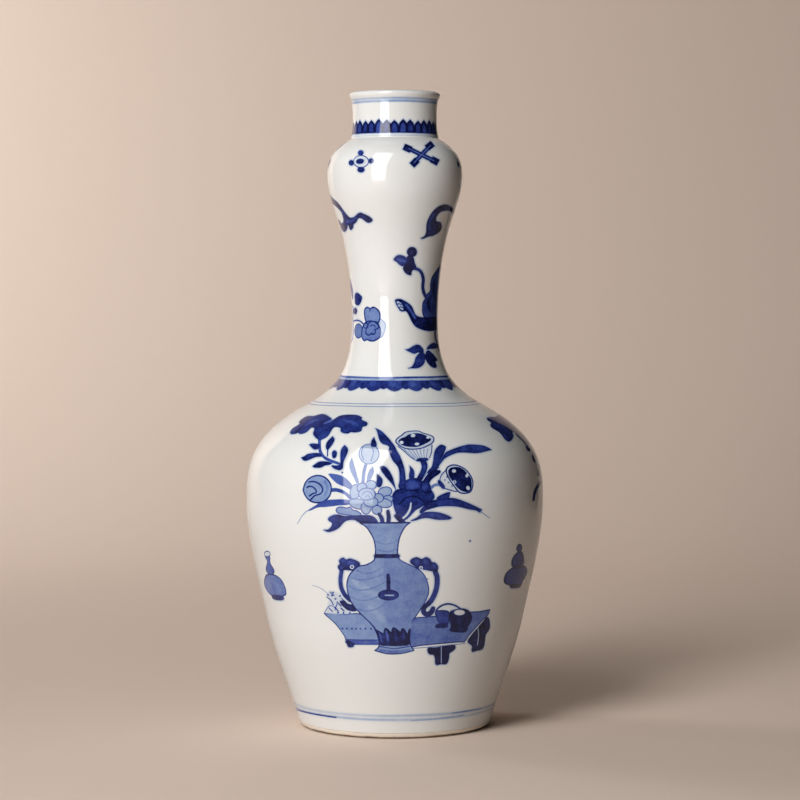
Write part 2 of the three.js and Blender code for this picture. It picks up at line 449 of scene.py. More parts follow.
def wall_fill(tone, points):
    """A filled mark given by angles in degrees and heights in mm, where the photo does not show the wall."""
    path = curve(points, True)
    return band_mark(np.radians(path[:, 0]), path[:, 1], tone)


# The painting. Every point is a place in the photo, in pixels, but for those of wall_fill.
BRANCH = [
    stroke(0.66, [(319.5, 439, 3), (319.5, 446, 3), (320.5, 452, 3), (324, 457, 3), (330, 460.5, 3),
        (336, 462.5, 2.8), (341, 464.5, 2.4)]),
    # lobed leaf
    fill(DARK, [(292, 429), (300, 423.5), (299, 422), (304, 417.5), (308, 416), (313, 416), (323, 414),
        (331, 418), (332, 420), (341, 415.5), (356, 415), (362, 417.5), (361.5, 419.5), (366.5, 422),
        (367.5, 424), (366, 426), (362.5, 427), (361, 431), (354, 432.5), (351, 432), (348, 433.5),
        (342, 432.5), (340.5, 430.5), (340.5, 428), (334, 427.5), (328, 436), (321, 440), (318, 439.5),
        (313.3, 434), (314.5, 428.5), (313, 427.5), (311, 428), (306, 432.5), (300, 434), (298, 432.5),
        (296.5, 433.5), (290.5, 433.5)]),
    stroke(0.5, [(324.5, 423.5, 1.6), (329, 421.5, 2.2), (333, 420, 1.4)]),
    stroke(STRONG, [(305, 426, 3), (312, 421.5, 4), (319, 419.5, 3)], soft=1.4),
    stroke(STRONG, [(344, 421, 3), (351, 422, 4), (357, 425, 3)], soft=1.4),
    # leaves along the stem
    fill(DARK, [(326.5, 449), (326, 445), (327.5, 441.5), (332.5, 436), (332.5, 436), (334.5, 440),
        (328, 450)]),
    line(STRONG, 1.1, [(328, 449), (327.6, 452), (327.5, 456)]),
    fill(DARK, [(309, 444.5), (309, 444.5), (312, 443.5), (319, 444.5), (319.5, 447.5), (314.5, 449.5)]),
    fill(DARK, [(333.5, 450.5), (336, 451), (337, 454), (334, 458.5), (332, 453.5)]),
    fill(DARK, [(301, 457.5), (301, 457.5), (304, 456.5), (308, 454), (318, 453), (322, 455), (322, 456.5),
        (316, 457), (307, 460.5), (304, 460.5)]),
    fill(DARK, [(312.5, 466), (312.5, 466), (320, 461.5), (332, 463), (329, 465), (325, 465.5),
        (321, 467.5), (314, 467.5)]),
    fill(DARK, [(344.5, 445), (344.5, 445), (347.5, 448), (348, 451), (343.5, 462), (341.5, 469),
        (340.5, 461), (341, 450)]),
    fill(DARK, [(331.5, 466), (336, 465.5), (341, 465.5), (342, 469), (338, 470)]),
    spot(DARK, 342.3, 472.5, 0.8, 0.8),
]

# Branch of the next group, at the right edge
EDGE_BRANCH = [
    fill(DARK, [(486.9, 418.2), (491, 417), (496, 417.2), (498.5, 415.4), (509, 419.5), (520.5, 431),
        (528, 443.5), (526.5, 445), (522, 440.5), (517.5, 436.5), (512.8, 431.5), (513.5, 436),
        (511.8, 439.8), (508.8, 441.6), (505.5, 440), (499.5, 432.5), (491.5, 427.5), (490.3, 424.8),
        (491.5, 422.8), (488.5, 421)]),
    wall_fill(DARK, [(80, 177.4), (89.5, 176.6), (96, 171.4), (95.5, 168.6), (92.5, 168.2), (90, 170),
        (84.5, 163.4), (80, 162.4), (79, 168)]),
    stroke(STRONG, [(524, 437, 1.2), (529.5, 446, 1.2), (534.5, 456, 1.2), (538.8, 468, 1), (541, 480, 1)]),
    spot(DARK, 528.2, 448, 2, 3.4, -25),
    spot(DARK, 534.2, 458, 1.9, 4.2, -12),
    spot(DARK, 538.6, 471, 1.1, 5.2),
    stroke(DARK, [(541.5, 481.5, 2.6), (539, 484.5, 2.4), (536.6, 488, 2.4), (534.8, 493, 2.8),
        (533.4, 500, 2)]),
]

SPIRAL_BUD = [
    # leaf behind the bud
    fill(MID, [(328, 474), (328, 474), (331, 473.5), (341, 475.5), (348, 480), (353, 487), (352, 490),
        (345, 487), (338, 484), (333, 480)]),
    # bud and its stem
    stroke(0.62, [(331, 490, 4), (337, 490, 3.6), (345, 493, 3.2), (350, 498, 3)]),
    *shape(WASH, DARK, 1.3, [(303, 490), (303, 490), (305.5, 482.5), (311, 477.3), (318, 475.5),
        (325, 477.5), (330, 483), (331.3, 489.5), (329.5, 496), (324.5, 501), (317.5, 502.7), (310.5, 501),
        (305.5, 496)]),
    line(DARK, 1.3, [(309, 482), (313, 481.5), (318, 483), (322, 487), (322.5, 491), (320, 494),
        (315, 495.5), (310.5, 500)]),
    line(DARK, 1.3, [(307, 487.5), (309, 486.5), (313, 487), (316.5, 492), (313, 493.5), (309.5, 496)]),
    stroke(0.42, [(325, 481, 2), (327.5, 488, 3), (325, 495, 2)], soft=1.0),
    # grass leaf
    fill(0.64, [(350, 500), (326, 500), (321, 502), (306, 511.5), (306, 511.5), (312, 510), (318, 507.5),
        (326, 507), (338, 505.5), (350, 504)]),
    stroke(WASH, [(306.5, 511.3, 1.1), (302, 516, 0.9), (299, 521, 0.8), (297, 524, 0.6)]),
]

# Closed bud with its stem and sepals
CLOSED_BUD = [
    stroke(0.45, [(366, 464, 3), (364, 472, 3.4), (363, 482, 3.4)]),
    fill(0.4, [(352, 457), (352, 457), (349.5, 463), (350, 470), (354, 478), (358, 484), (357, 475)]),
    fill(0.42, [(373, 466), (373, 466), (369, 471), (367, 478), (368, 484), (371.5, 478), (374, 472)]),
    *petal(369, 454, 10, 10, tone=0.2, edge=0.52),
    line(0.48, 0.9, [(363, 447), (361.5, 453), (363.5, 460)]),
    line(0.48, 0.9, [(371, 445), (373.5, 452), (371, 461)]),
    fill(DARK, [(374, 437), (374, 437), (376.5, 446), (371.5, 446), (371.5, 441)]),
]

POD_SEEDS = [(413, 435.5, 2.5, 1.8), (401.5, 442.5, 2.2, 1.8), (428, 437.5, 2, 1.3), (417, 444, 2.5, 1.5)]
SECOND_POD_SEEDS = [(454, 471, 2.2, 1.9), (467, 475.5, 1.6, 2.2, 20), (468, 488, 1.9, 2.4, -25),
        (454.5, 482, 2, 1.8)]
POD_RIBS = [(404 + 4 * i, 414.5 + 2 * i) for i in range(7)]
POD_DOTS = [(447, 477), (445, 480), (449, 474), (448.5, 482.5), (452, 486)]
PODS = [
    # long leaf between the bud and the first pod
    fill(DARK, [(375, 428), (375, 428), (382, 431.5), (394, 445), (397, 451), (400, 456), (404.5, 469),
        (405.8, 482), (406, 490), (399, 488), (399.5, 480), (398.5, 468), (392.5, 460), (389, 451),
        (389, 446.5), (381, 442.5), (376.5, 430)]),
    fill(DARK, [(380, 467), (383, 466), (387, 468), (392.5, 477), (396, 490), (396, 490), (392, 484),
        (384, 474.5)]),
    fill(DARK, [(377, 474), (379.5, 476), (382.5, 479.5), (381, 486.5), (378, 487), (376.5, 484),
        (376.8, 478)]),
    fill(DARK, [(409.5, 465.5), (409.5, 465.5), (414, 471), (413.5, 479), (410, 479.5), (409, 475),
        (410, 470)]),
    # first pod: stem, cone, rim, seed face
    stroke(DARK, [(423, 461, 5.6), (424.5, 465, 6), (424, 470, 5.6), (421, 476, 5), (418, 481, 5)]),
    fill(0.1, [(398, 446), (404, 451), (415, 460), (428, 459.5), (429.5, 458), (431.5, 452), (432, 445),
        (415, 444)]),
    line(STRONG, 0.9, [(398, 446), (404, 451), (410, 456.5), (415, 460)]),
    line(STRONG, 0.9, [(432, 445), (431.5, 452), (429.5, 458)]),
    *[
        line(0.4, 0.7, [(top, 449), ((top + foot) / 2 - 0.4, 453.5), (foot, 458.5)])
        for top, foot in POD_RIBS
    ],
    fill(DARK, [(416, 461), (418, 458.5), (427, 458), (428.5, 459.5), (426, 461)]),
    *shape(0.12, DARK, 1.1, [(396, 440), (402, 435), (406, 432), (418, 431), (423, 433), (432, 436),
        (434, 439), (433, 442), (430, 444.5), (420, 448.5), (406, 448.5), (397, 443.5)]),
    fill(DEEP, [(398.5, 442), (401, 438.5), (405, 437), (409, 434.5), (420, 433.5), (431, 439),
        (429, 441.5), (420, 446), (414, 447), (403, 445.5)]),
    *[spot(0.06, *seed) for seed in POD_SEEDS],
    # upright and long leaves to the right
    fill(DARK, [(440, 445), (443, 445), (446, 447.5), (439, 464), (438.5, 468), (421, 480.5), (424, 477),
        (428, 471), (432, 466), (435, 450.5)]),
    fill(0.82, [(444, 454.5), (447, 451.5), (466, 445), (480, 445), (486, 446.5), (492, 449.8),
        (492, 449.8), (478, 453), (462, 452.5), (455, 453.5), (445, 458.5), (441, 463), (438, 467)]),
    stroke(STRONG, [(452, 451.5, 2.5), (466, 448.8, 3.4), (480, 448.6, 2.5)], soft=1.3),
    fill(DEEP, [(440, 470.5), (440.5, 472.5), (432, 479), (426, 487), (421, 486), (422, 482), (430, 472.5),
        (435, 470)]),
    line(0.1, 0.9, [(427.5, 473.5), (424.5, 477.5), (421.5, 482)]),
    # second pod
    stroke(0.42, [(431, 488, 3), (435, 485, 3), (440, 485, 3)]),
    *shape(0.08, STRONG, 1.0, [(447, 468), (446, 470), (441.5, 475), (440, 480), (443, 487), (450, 490),
        (458, 490.5), (456, 480)]),
    *[spot(MID, x, y, 0.8, 0.8) for x, y in POD_DOTS],
    fill(DARK, [(438.5, 480), (443.5, 484), (445, 488), (443, 489), (438, 483)]),
    *shape(0.1, DARK, 1.2, [(447, 468), (455, 465), (466, 470), (472.5, 480), (472, 489), (469, 492.5),
        (461, 493), (457, 490), (447.5, 475.5)]),
    fill(DEEP, [(448.6, 474), (448.6, 470.3), (451.5, 467.6), (460.5, 467.8), (469, 475.5), (471.4, 480.5),
        (471, 489), (467.5, 492), (459, 489), (450, 477.5)]),
    *[spot(0.06, *seed) for seed in SECOND_POD_SEEDS],
    spot(DARK, 454.5, 482, 0.8, 0.8),
]

LOTUS_PETALS = [(371, 485, 5.5, 4.5, 0), (355, 492, 5, 7.5, 10), (358, 504, 9, 5, 15), (366, 508, 5, 6, 0),
        (385, 492, 7, 5, -15), (388, 499, 5, 3.5, 0), (384, 503, 8, 4.5, 10), (377, 510, 5, 4.5, 0),
        (362, 488, 5, 5, 0), (378, 498, 5.5, 4.5, 0), (371, 502, 7, 5, 0), (367, 494, 8.5, 6, 0)]
FLOWERS = [
    # dark flower in the middle
    fill(DARK, [(405, 481), (416, 478), (420, 480), (429, 483), (431.5, 490), (434, 494), (434.5, 498),
        (432, 500.5), (430, 503), (425, 505), (420, 508), (416, 510), (407, 519), (400, 521), (397, 517),
        (392, 497), (395, 491), (399, 489), (404, 489)]),
    spot(0.68, 412.5, 485, 6.5, 4.6, soft=1.8),
    spot(0.74, 425.5, 487.5, 3.4, 3.4, soft=1.6),
    spot(0.78, 400, 498, 4, 5, soft=1.8),
    line(1.0, 1.1, [(405, 491), (409, 490), (415, 490.5), (420, 489)]),
    line(1.0, 1.1, [(399, 505), (404, 499), (411, 496.5), (419, 498), (425, 503)]),
    line(1.0, 1.1, [(421, 484), (421.5, 489), (425, 492.5), (431, 492)]),
    stroke(0.1, [(411, 503, 1.6), (410, 509, 2.4), (407, 514.5, 2.4), (402, 519, 2.2),
        (397.5, 522.3, 1.8)]),
    # leaves under it
    fill(0.84, [(432, 500.5), (442, 499), (453, 498), (467, 502.5), (482, 509.5), (482, 509.5),
        (480.5, 512.5), (476, 510.5), (470, 509.5), (456, 506.5), (440, 506.5), (427, 510), (420, 513),
        (424, 506)]),
    stroke(WASH, [(481, 511.5, 1.2), (486, 515.5, 1), (490, 518, 0.7)]),
    fill(DARK, [(436.5, 498.5), (439, 496), (447, 492.5), (450.5, 492), (450.5, 492), (448, 499),
        (438, 500)]),
    fill(0.82, [(411, 521), (417, 517.5), (421, 514), (426, 512), (438, 512.3), (448, 515.5), (452, 518),
        (452, 518), (449, 519.5), (438, 519.8), (425, 518)]),
    # pale leaf and dark leaf to the left
    *shape(0.32, 0.66, 1.0, [(336, 510), (338, 507.5), (342, 507), (347, 508), (350, 507), (353, 510),
        (357, 511), (361, 515), (352, 515.5), (338, 513)]),
    fill(DARK, [(328, 519.5), (331, 516), (338, 514.5), (345, 516), (367, 515), (373, 516.5), (377, 520),
        (377.5, 522.5), (358, 522), (355, 520), (346, 521), (338, 528.5), (329, 532), (323, 530),
        (323, 530), (329, 529), (332, 523.5)]),
    # pale flower
    *[m for form in LOTUS_PETALS for m in petal(*form)],
    line(0.55, 0.8, [(362, 495), (366, 491.5), (371, 493), (372.5, 496.5)]),
    line(0.5, 0.8, [(365, 497.5), (368, 495.5), (370, 498)]),
    # stems in the mouth of the painted vase
    stroke(DARK, [(379, 514, 3), (381.5, 518, 4), (382.5, 522.5, 4)]),
    stroke(DARK, [(388, 511.5, 3.4), (388.7, 517, 4), (388.3, 522.5, 4)]),
    stroke(DARK, [(396, 516, 4), (400, 519.5, 5), (404, 522, 3)]),
    line(0.06, 1.4, [(385, 513.5), (385.6, 518), (385.6, 522)]),
]

PAINTED_VASE = [(360, 523), (360, 523), (365, 526), (369, 530.5), (374.5, 542), (374.5, 559), (367, 564.5),
        (360, 566), (356, 568), (349, 576), (347, 588), (353, 605), (375, 628.5), (379, 640), (379, 646),
        (377, 649), (374.5, 650.5), (374.5, 650.5), (387, 653.7), (401, 653.5), (414, 650.5), (414, 650.5),
        (410.5, 645), (409.5, 638), (412, 621.5), (416, 616), (428, 595), (427.5, 583), (421, 571.5),
        (401, 560.5), (398.5, 557.5), (397.5, 552), (399.5, 538), (405, 527), (410, 522.5), (410, 522.5)]
FLAMES = [(376.5, 629.5), (376.5, 629.5), (383.3, 633.3), (383.3, 633.3), (385.4, 628), (391.3, 632.3),
        (391.3, 632.3), (391.9, 628.8), (393.6, 627), (400.4, 631.9), (400.4, 631.9), (402.8, 628),
        (407.6, 633.8), (407.6, 633.8), (408.3, 630.5), (410.3, 628), (410.3, 628), (409.6, 636),
        (409.2, 644.4), (402, 645.8), (387, 645.8), (379.8, 644.3)]
VASE_SECOND_WASH = [(384, 558), (384, 558), (398, 558.5), (404, 562.5), (421, 572), (427, 581.5),
        (427, 597), (412.5, 620.5), (410, 630), (393, 630), (388, 623.5), (383, 608), (386, 588),
        (384.5, 580), (383.3, 570)]
VASE_LAPS = [
    [(374.5, 540), (381, 543.5), (390, 543.5), (398, 540)],
    [(375.8, 549), (384, 551.5), (392, 551), (397.7, 548)],
    [(357, 570), (364, 573.5), (374, 572), (383.5, 566)],
    [(351, 577.5), (360, 580), (371, 578.5), (384, 574)],
    [(348.5, 586), (359, 590), (371, 588.5), (384, 583)],
    [(350.5, 597), (361, 600.5), (372, 599), (381, 595)],
    [(358, 609), (366, 611), (375, 609.5), (383, 605)],
    [(399, 566.5), (403, 572), (411, 574.5), (421, 573)],
    [(393, 580), (402, 584), (414, 584), (427.5, 579)],
    [(398, 599), (406, 600.5), (416, 598.5), (427, 592)],
    [(388, 609.5), (397, 613.5), (407, 612.5), (418, 608)],
    [(392, 622), (399, 624.5), (406, 624), (411, 621.5)],
]
PLANTER_DOTS = [(333, 592.5), (332, 595.5), (328, 595), (340, 596), (335.5, 599), (338, 612.5),
        (343.5, 613), (350, 613)]
THICK_GRASS = [
    [(337, 602), (341, 606)],
    [(335, 607), (338, 611)],
    [(341, 608), (344, 611)],
]
THIN_GRASS = [
    [(327, 597), (331, 600.5), (333.5, 605)],
    [(330, 592), (334, 595.5)],
    [(337, 604), (335, 610)],
    [(329, 608), (332.5, 611.5)],
    [(341.5, 598.5), (345, 601.5)],
]
HANDLE_LIGHTS = [(0.66, 343, 560.6, 2.2, 2), (0.68, 341.2, 567.2, 2, 1.8), (0.7, 350.5, 562.4, 4, 2.2),
        (0.66, 417, 561.6, 2.8, 2.6), (0.66, 426, 562, 2.8, 2.8), (0.7, 434.4, 566.6, 2.2, 2.2)]
STILL_LIFE = [
    # planter behind the vase
    *shape(0.33, DARK, 0.9, [(324, 613.5), (324, 613.5), (345, 614.3), (360, 614), (366, 619), (372, 625),
        (376, 632), (378, 640), (346.5, 640), (344.5, 636), (336, 624.5)]),
    *[spot(STRONG, x, 628.7, 1, 0.9) for x in (342.5, 347, 352, 356, 360.5, 365.5, 371)],
    stroke(0.56, [(347, 641.8, 4), (362, 642, 4), (378, 642, 4)]),
    line(STRONG, 0.9, [(346.3, 639.6), (362, 640), (378, 640)]),
    line(STRONG, 0.9, [(347, 644.2), (362, 644.4), (379, 644.4)]),
    fill(DARK, [(346.3, 640), (347, 644), (348.5, 647), (353, 647), (354.5, 644.5), (355, 644)]),
    fill(0.1, [(325.5, 613), (327, 607), (329, 598), (328, 592), (334, 591), (341, 595), (350, 610),
        (352, 613.5)], soft=1.2),
    *[spot(STRONG, x, y, 0.9, 0.9) for x, y in PLANTER_DOTS],
    *[line(STRONG, 1.1, blade) for blade in THICK_GRASS],
    *[line(STRONG, 0.9, blade) for blade in THIN_GRASS],
    line(MID, 0.8, [(324.5, 613), (327, 608.5), (330.5, 605.5), (334, 607), (335.5, 610)]),
    fill(0.95, [(339.8, 601.6), (344.5, 600.8), (347.5, 603.6), (352, 604.8), (357, 608.5), (356, 611),
        (350.5, 611), (346, 609)]),
    line(0.24, 0.8, [(312.5, 585.5), (318, 587), (324, 590.5), (328, 594)]),
    # table behind the vase, with two cups
    *shape(0.49, DARK, 1.0, [(416, 618), (425, 617.3), (472, 612), (480, 611.5), (490, 609.5),
        (490, 609.5), (488.5, 614), (484, 618.5), (470, 634), (464.5, 642), (464.5, 642), (458, 642),
        (420, 645.5), (409, 646.5), (408, 640), (408, 630), (411, 622)]),
    line(0.4, 0.8, [(412, 648.5), (430, 647), (465, 643.5)]),
    fill(DEEP, [(428, 648), (435, 647.5), (454.5, 645), (455.5, 648), (453, 651), (449.5, 653.5),
        (449, 658), (446.5, 664), (441, 664.2), (436, 664.8), (434.8, 658), (433.5, 655), (430, 654.5),
        (428, 652.5)]),
    line(0.16, 0.9, [(441.3, 647), (441.3, 655), (441.3, 663)]),
    fill(DEEP, [(487.5, 617), (490, 626), (488.5, 631), (486, 634.5), (483, 648.5), (476, 651),
        (472.5, 652), (471.5, 650), (472, 646), (468, 642.5), (468.5, 639), (483, 621.5)]),
    line(0.16, 0.9, [(478, 627.5), (478.5, 635), (477.5, 645)]),
    spot(0.05, 448.5, 608, 8, 3.4),
    line(DARK, 1.6, [(435.6, 614), (436.6, 610), (441, 606), (447.9, 603.9), (455, 605.5), (460, 608.4)]),
    *shape(0.7, DARK, 1.1, [(437, 611), (447, 611), (449, 613), (448.5, 619), (447.5, 623.5), (440, 623),
        (435.8, 614)]),
    fill(DARK, [(435, 627), (437, 624), (446, 623.5), (448.5, 625.5), (447, 627.5), (437, 628)]),
    fill(DEEP, [(449, 613.5), (452, 610.5), (463, 608.5), (470.5, 612.5), (471.5, 621), (467.5, 628),
        (467.5, 630.5), (463, 632.5), (451, 631.5), (449.5, 629.5), (451, 627), (448.8, 619)]),
    spot(0.04, 459.5, 612.5, 5.5, 2.8),
    # handles
    stroke(0.8, [(341.5, 571, 4), (340.5, 580, 4), (341.5, 588, 4), (345, 595, 4), (350, 600, 4)]),
    fill(DARK, [(343, 557.5), (346, 559.5), (350, 558.5), (359, 562), (360, 565), (357, 568), (354, 570.5),
        (345, 570), (341, 571), (338.5, 569), (338, 566), (340, 563.5), (338.8, 561)]),
    stroke(0.82, [(435, 571, 5), (437, 577, 5), (437, 585, 5), (435, 593, 5), (431.5, 600, 5),
        (428, 604, 5)]),
    stroke(DARK, [(428, 604, 4.6), (424.2, 607.6, 4.6), (423.6, 611.8, 4.8), (427.5, 614.4, 5),
        (431.6, 611.8, 5), (433, 608.6, 4.6)]),
    fill(DARK, [(410, 561.5), (416, 557.2), (422, 559), (426, 557), (430, 559), (432, 562), (435, 562.5),
        (438, 566), (438, 569.5), (436, 571.5), (422, 569.5), (419, 570), (415, 566.5)]),
    # vase
    *shape(0.33, DARK, 1.1, PAINTED_VASE),
    fill(0.4, VASE_SECOND_WASH, soft=0.7),
    stroke(0.38, [(369, 526, 4), (386, 528.5, 5), (402, 526, 4)], soft=1.4),
    stroke(0.27, [(355, 581, 6), (366, 590, 8), (378, 596, 7)], soft=3.0),
    stroke(0.28, [(368, 608, 5), (377, 613, 6), (383, 621, 5)], soft=2.0),
    *[stroke(0.42, [(x, y, 1.5) for x, y in lap], soft=0.6) for lap in VASE_LAPS],
    line(DARK, 1.4, [(360, 522.7), (385, 522.9), (410, 522.6)]),
    stroke(DARK, [(375.8, 556, 3.8), (387, 556.2, 4), (398, 556, 3.8)]),
    stroke(DARK, [(388, 575, 3.4), (388.5, 582, 4), (388.5, 590, 3.4)]),
    spot(DARK, 388.5, 595, 10.5, 5.5),
    stroke(0.24, [(385, 595.3, 1.2), (389.5, 595.3, 1.8), (394, 595.3, 1.2)]),
    fill(DEEP, FLAMES),
    stroke(0.7, [(379.2, 632.5, 1.2), (380.8, 637, 2), (382, 641.5, 1.2)], soft=0.5),
    stroke(0.6, [(385.8, 630.8, 1.4), (387.2, 635, 2.8), (388.2, 640.5, 1.6)], soft=0.5),
    stroke(0.78, [(394.4, 630, 1.4), (395.6, 635, 2.4), (396.5, 641, 1.6)], soft=0.6),
    stroke(0.78, [(403.2, 631, 1.2), (403.8, 636, 2), (403.4, 641, 1.4)], soft=0.6),
    line(STRONG, 0.9, [(380, 646.5), (394, 648.5), (409, 646.5)]),
    stroke(0.5, [(380, 650.5, 2.2), (394, 651.8, 2.6), (409, 650.4, 2.2)], soft=0.8),
    spot(0.05, 352, 567, 2.2, 2.2),
    spot(DARK, 352, 567, 1, 1),
    spot(0.05, 421, 568, 2, 2),
    spot(DARK, 421, 568.2, 0.9, 0.9),
    *[spot(*light, soft=1.0) for light in HANDLE_LIGHTS],
]

GOURD = [
    *shape(0.46, DARK, 1.2, [(268, 574.5), (275, 575.3), (282, 581), (286, 593.5), (282, 596),
        (272.5, 595.3), (268.5, 592.5), (264.5, 585), (265.5, 576.5)]),
    *shape(0.55, DARK, 1.1, [(265.5, 556.5), (269.8, 557), (269.8, 560), (270.5, 564), (274, 570),
        (274, 572.5), (271.5, 574.5), (269, 574), (266, 570), (267.3, 563), (267, 560)]),
    *petal(267.3, 554, 3, 2.8, tone=0.06, edge=0.86),
    fill(DARK, [(272, 595.3), (282.5, 596), (284, 599), (281.5, 600.3), (273.5, 599)]),
]
SECOND_GOURD = [
    *shape(0.72, DEEP, 1.8, [(505.5, 575), (512, 568.5), (517, 567.5), (524, 566.5), (527, 571.5),
        (522.5, 581.5), (520.5, 585), (505.5, 583)]),
    *shape(0.78, DEEP, 1.6, [(512, 561), (516.5, 553.5), (521.3, 552), (523.8, 561.5), (521.5, 565.5),
        (513.8, 567.5)]),
    *petal(519.3, 548, 2.7, 3.8, 12, tone=0.66, edge=DEEP),
    fill(DEEP, [(510, 585), (515, 585.6), (521, 584.2), (520, 587), (510.5, 588)]),
]

NECK_FLOWER = [
    stroke(STRONG, [(349.8, 279, 0.8), (351.6, 289, 2.2), (352.7, 298.5, 0.9)]),
    line(MID, 0.7, [(353, 306), (353, 320), (353, 337), (351.4, 342)]),
    fill(DARK, [(356, 293), (361.8, 296.5), (362, 298.6), (359.3, 304.7), (356, 304.7), (354.7, 300.6)]),
    spot(DARK, 355.2, 311, 2, 3.2),
    line(STRONG, 1.3, [(353.7, 321), (356.7, 320.3), (359.8, 321), (363.4, 324)]),
    *petal(358.5, 331, 4.1, 7.1, tone=0.44, edge=0.88),
    *shape(0.2, 0.42, 0.9, [(378.7, 318.7), (383.8, 321.5), (385.6, 325.1), (382.8, 335.8), (379, 337.6),
        (375, 328)]),
    *shape(0.41, 0.88, 1.3, [(368, 323.5), (365.4, 320), (364.6, 309.8), (367.4, 307.2), (370, 309),
        (370, 309), (373.6, 307.2), (379.2, 311.8), (379.7, 319.5), (377, 323)]),
    line(0.8, 0.9, [(370, 309), (369.8, 311.2)]),
    *shape(0.45, 0.88, 1.3, [(364.5, 323.5), (361.8, 336.3), (364.4, 340.7), (366.9, 339.4), (369, 340.4),
        (373.6, 340.9), (379.7, 336.8), (380, 328), (373.5, 321.5)]),
    outline(0.88, 1.2, [(369, 323), (373.6, 321.3), (377.7, 323.1), (378.7, 326.6), (377.1, 329.2),
        (375.1, 329.4), (375.6, 331.2), (373.6, 334.5), (371, 333.3), (370, 334.8), (367.4, 334.8),
        (365.7, 332.2)]),
    line(0.8, 0.9, [(370.5, 326), (373.5, 324.8), (375.2, 327)]),
    hoop(0.88, 1.0, 365.9, 325.6, 2.2, 2.6),
]
NECK_CREATURE = [
    # trefoil
    fill(DARK, [(393.5, 259.5), (399, 255), (408, 258.5), (408, 262), (405, 265.5), (401.5, 266),
        (396, 261.5)]),
    spot(DEEP, 412, 252, 5, 5),
    fill(DEEP, [(407.5, 256), (413, 257), (414.5, 262), (416.5, 269), (413, 270), (411.5, 272.5),
        (411, 275.3), (405.5, 273), (403, 267.5), (405.5, 265), (407, 260)]),
    stroke(0.62, [(398, 259.5, 1.8), (402, 260.5, 2.4), (405, 261.5, 1.6)], soft=0.8),
    stroke(DARK, [(415, 268.5, 3), (419, 270, 3), (422, 274, 3), (423.3, 280, 3), (422.8, 287, 3),
        (424, 293, 3), (426, 297, 3)]),
    # bottle form at the edge
    *shape(0.68, DARK, 1.2, [(439.5, 267.3), (436, 271.5), (432, 277.5), (430.5, 284), (430.2, 291),
        (426.9, 294.6), (425.2, 299), (422.8, 303.6), (423.8, 316.4), (430, 318.5), (436, 318), (436, 294),
        (437, 282)]),
    wall_fill(DARK, [(71, 261.5), (75, 263.2), (80, 264), (84, 261.5), (88, 250.5), (94, 240), (93, 235.2),
        (87, 232.8), (70, 232.8)]),
    wall_fill(0.68, [(67, 258.6), (80, 262.8), (83, 260.6), (86.6, 249.8), (92.4, 239.8), (91.6, 235.8),
        (86, 234.2), (64, 234.2), (64, 247)]),
    stroke(DARK, [(431, 296, 2.4), (428.5, 303, 3), (430, 311, 2.6)], soft=1.2),
    stroke(DARK, [(434.5, 282, 2), (433.8, 290, 2.6), (435, 299, 2.4)], soft=1.2),
    # horn
    fill(DEEP, [(395, 300.5), (398, 299), (402, 299.5), (411, 305.5), (416.5, 315.5), (424, 317.5),
        (437, 318), (437.5, 328), (430, 331), (419, 328.5), (414, 325), (407.5, 313), (405.5, 311),
        (403, 311.5), (400, 310.5)]),
    fill(0.2, [(396.5, 301.5), (401, 303), (403.5, 310), (400.5, 309.3)]),
    line(DARK, 0.8, [(397, 304.3), (399.5, 303.8), (401.5, 305)]),
    line(DARK, 0.8, [(398.8, 307.6), (401, 306.8), (403, 308)]),
    wall_fill(DEEP, [(74, 233.2), (90, 231.8), (91.5, 229.4), (88, 227.4), (80, 226.9), (74, 227)]),
    stroke(0.62, [(406, 304.5, 2), (411, 311, 2.6), (415, 318, 2.4)], soft=0.9),
    stroke(DARK, [(435, 329, 1.3), (435.3, 337, 1.3), (437.5, 345, 1.2), (439.4, 351, 1)]),
    # leaves
    fill(DARK, [(405, 349.5), (405, 349.5), (408, 349), (416, 344.8), (420, 345.5), (424, 351), (422, 353),
        (418, 352.5), (414, 353.8)]),
    fill(DARK, [(423, 352), (425, 361), (419.5, 367.5), (408, 368.3), (408, 368.3), (412, 366.5),
        (414.5, 362), (416, 357)]),
    fill(DEEP, [(426, 352), (429, 350.5), (437.5, 360), (435.5, 361.5), (436.8, 366.5), (435, 368),
        (431, 366.5), (425.5, 359)]),
    fill(DARK, [(426.5, 349), (432, 343.3), (435.5, 343.4), (438, 347), (430, 349)]),
]

IRON_SPECK = [spot(0.9, 470, 541, 0.9, 0.9)]

# Darker stretches of the two lines at the foot
FOOT_STROKES = [
    stroke(0.7, [(292, 707.4, 1.1), (300, 710.6, 1.6), (310, 713.2, 1.6), (320, 715, 1.6),
        (330, 716.6, 1.5), (336, 717.4, 1.3)]),
    stroke(0.24, [(411, 720.6, 1.4), (430, 719.4, 1.8), (450, 717.2, 1.8), (464, 714.9, 1.4)], soft=0.6),
    stroke(0.36, [(452, 713.2, 1.2), (466, 711.2, 1.6), (481, 708.6, 1.2)], soft=0.6),
]

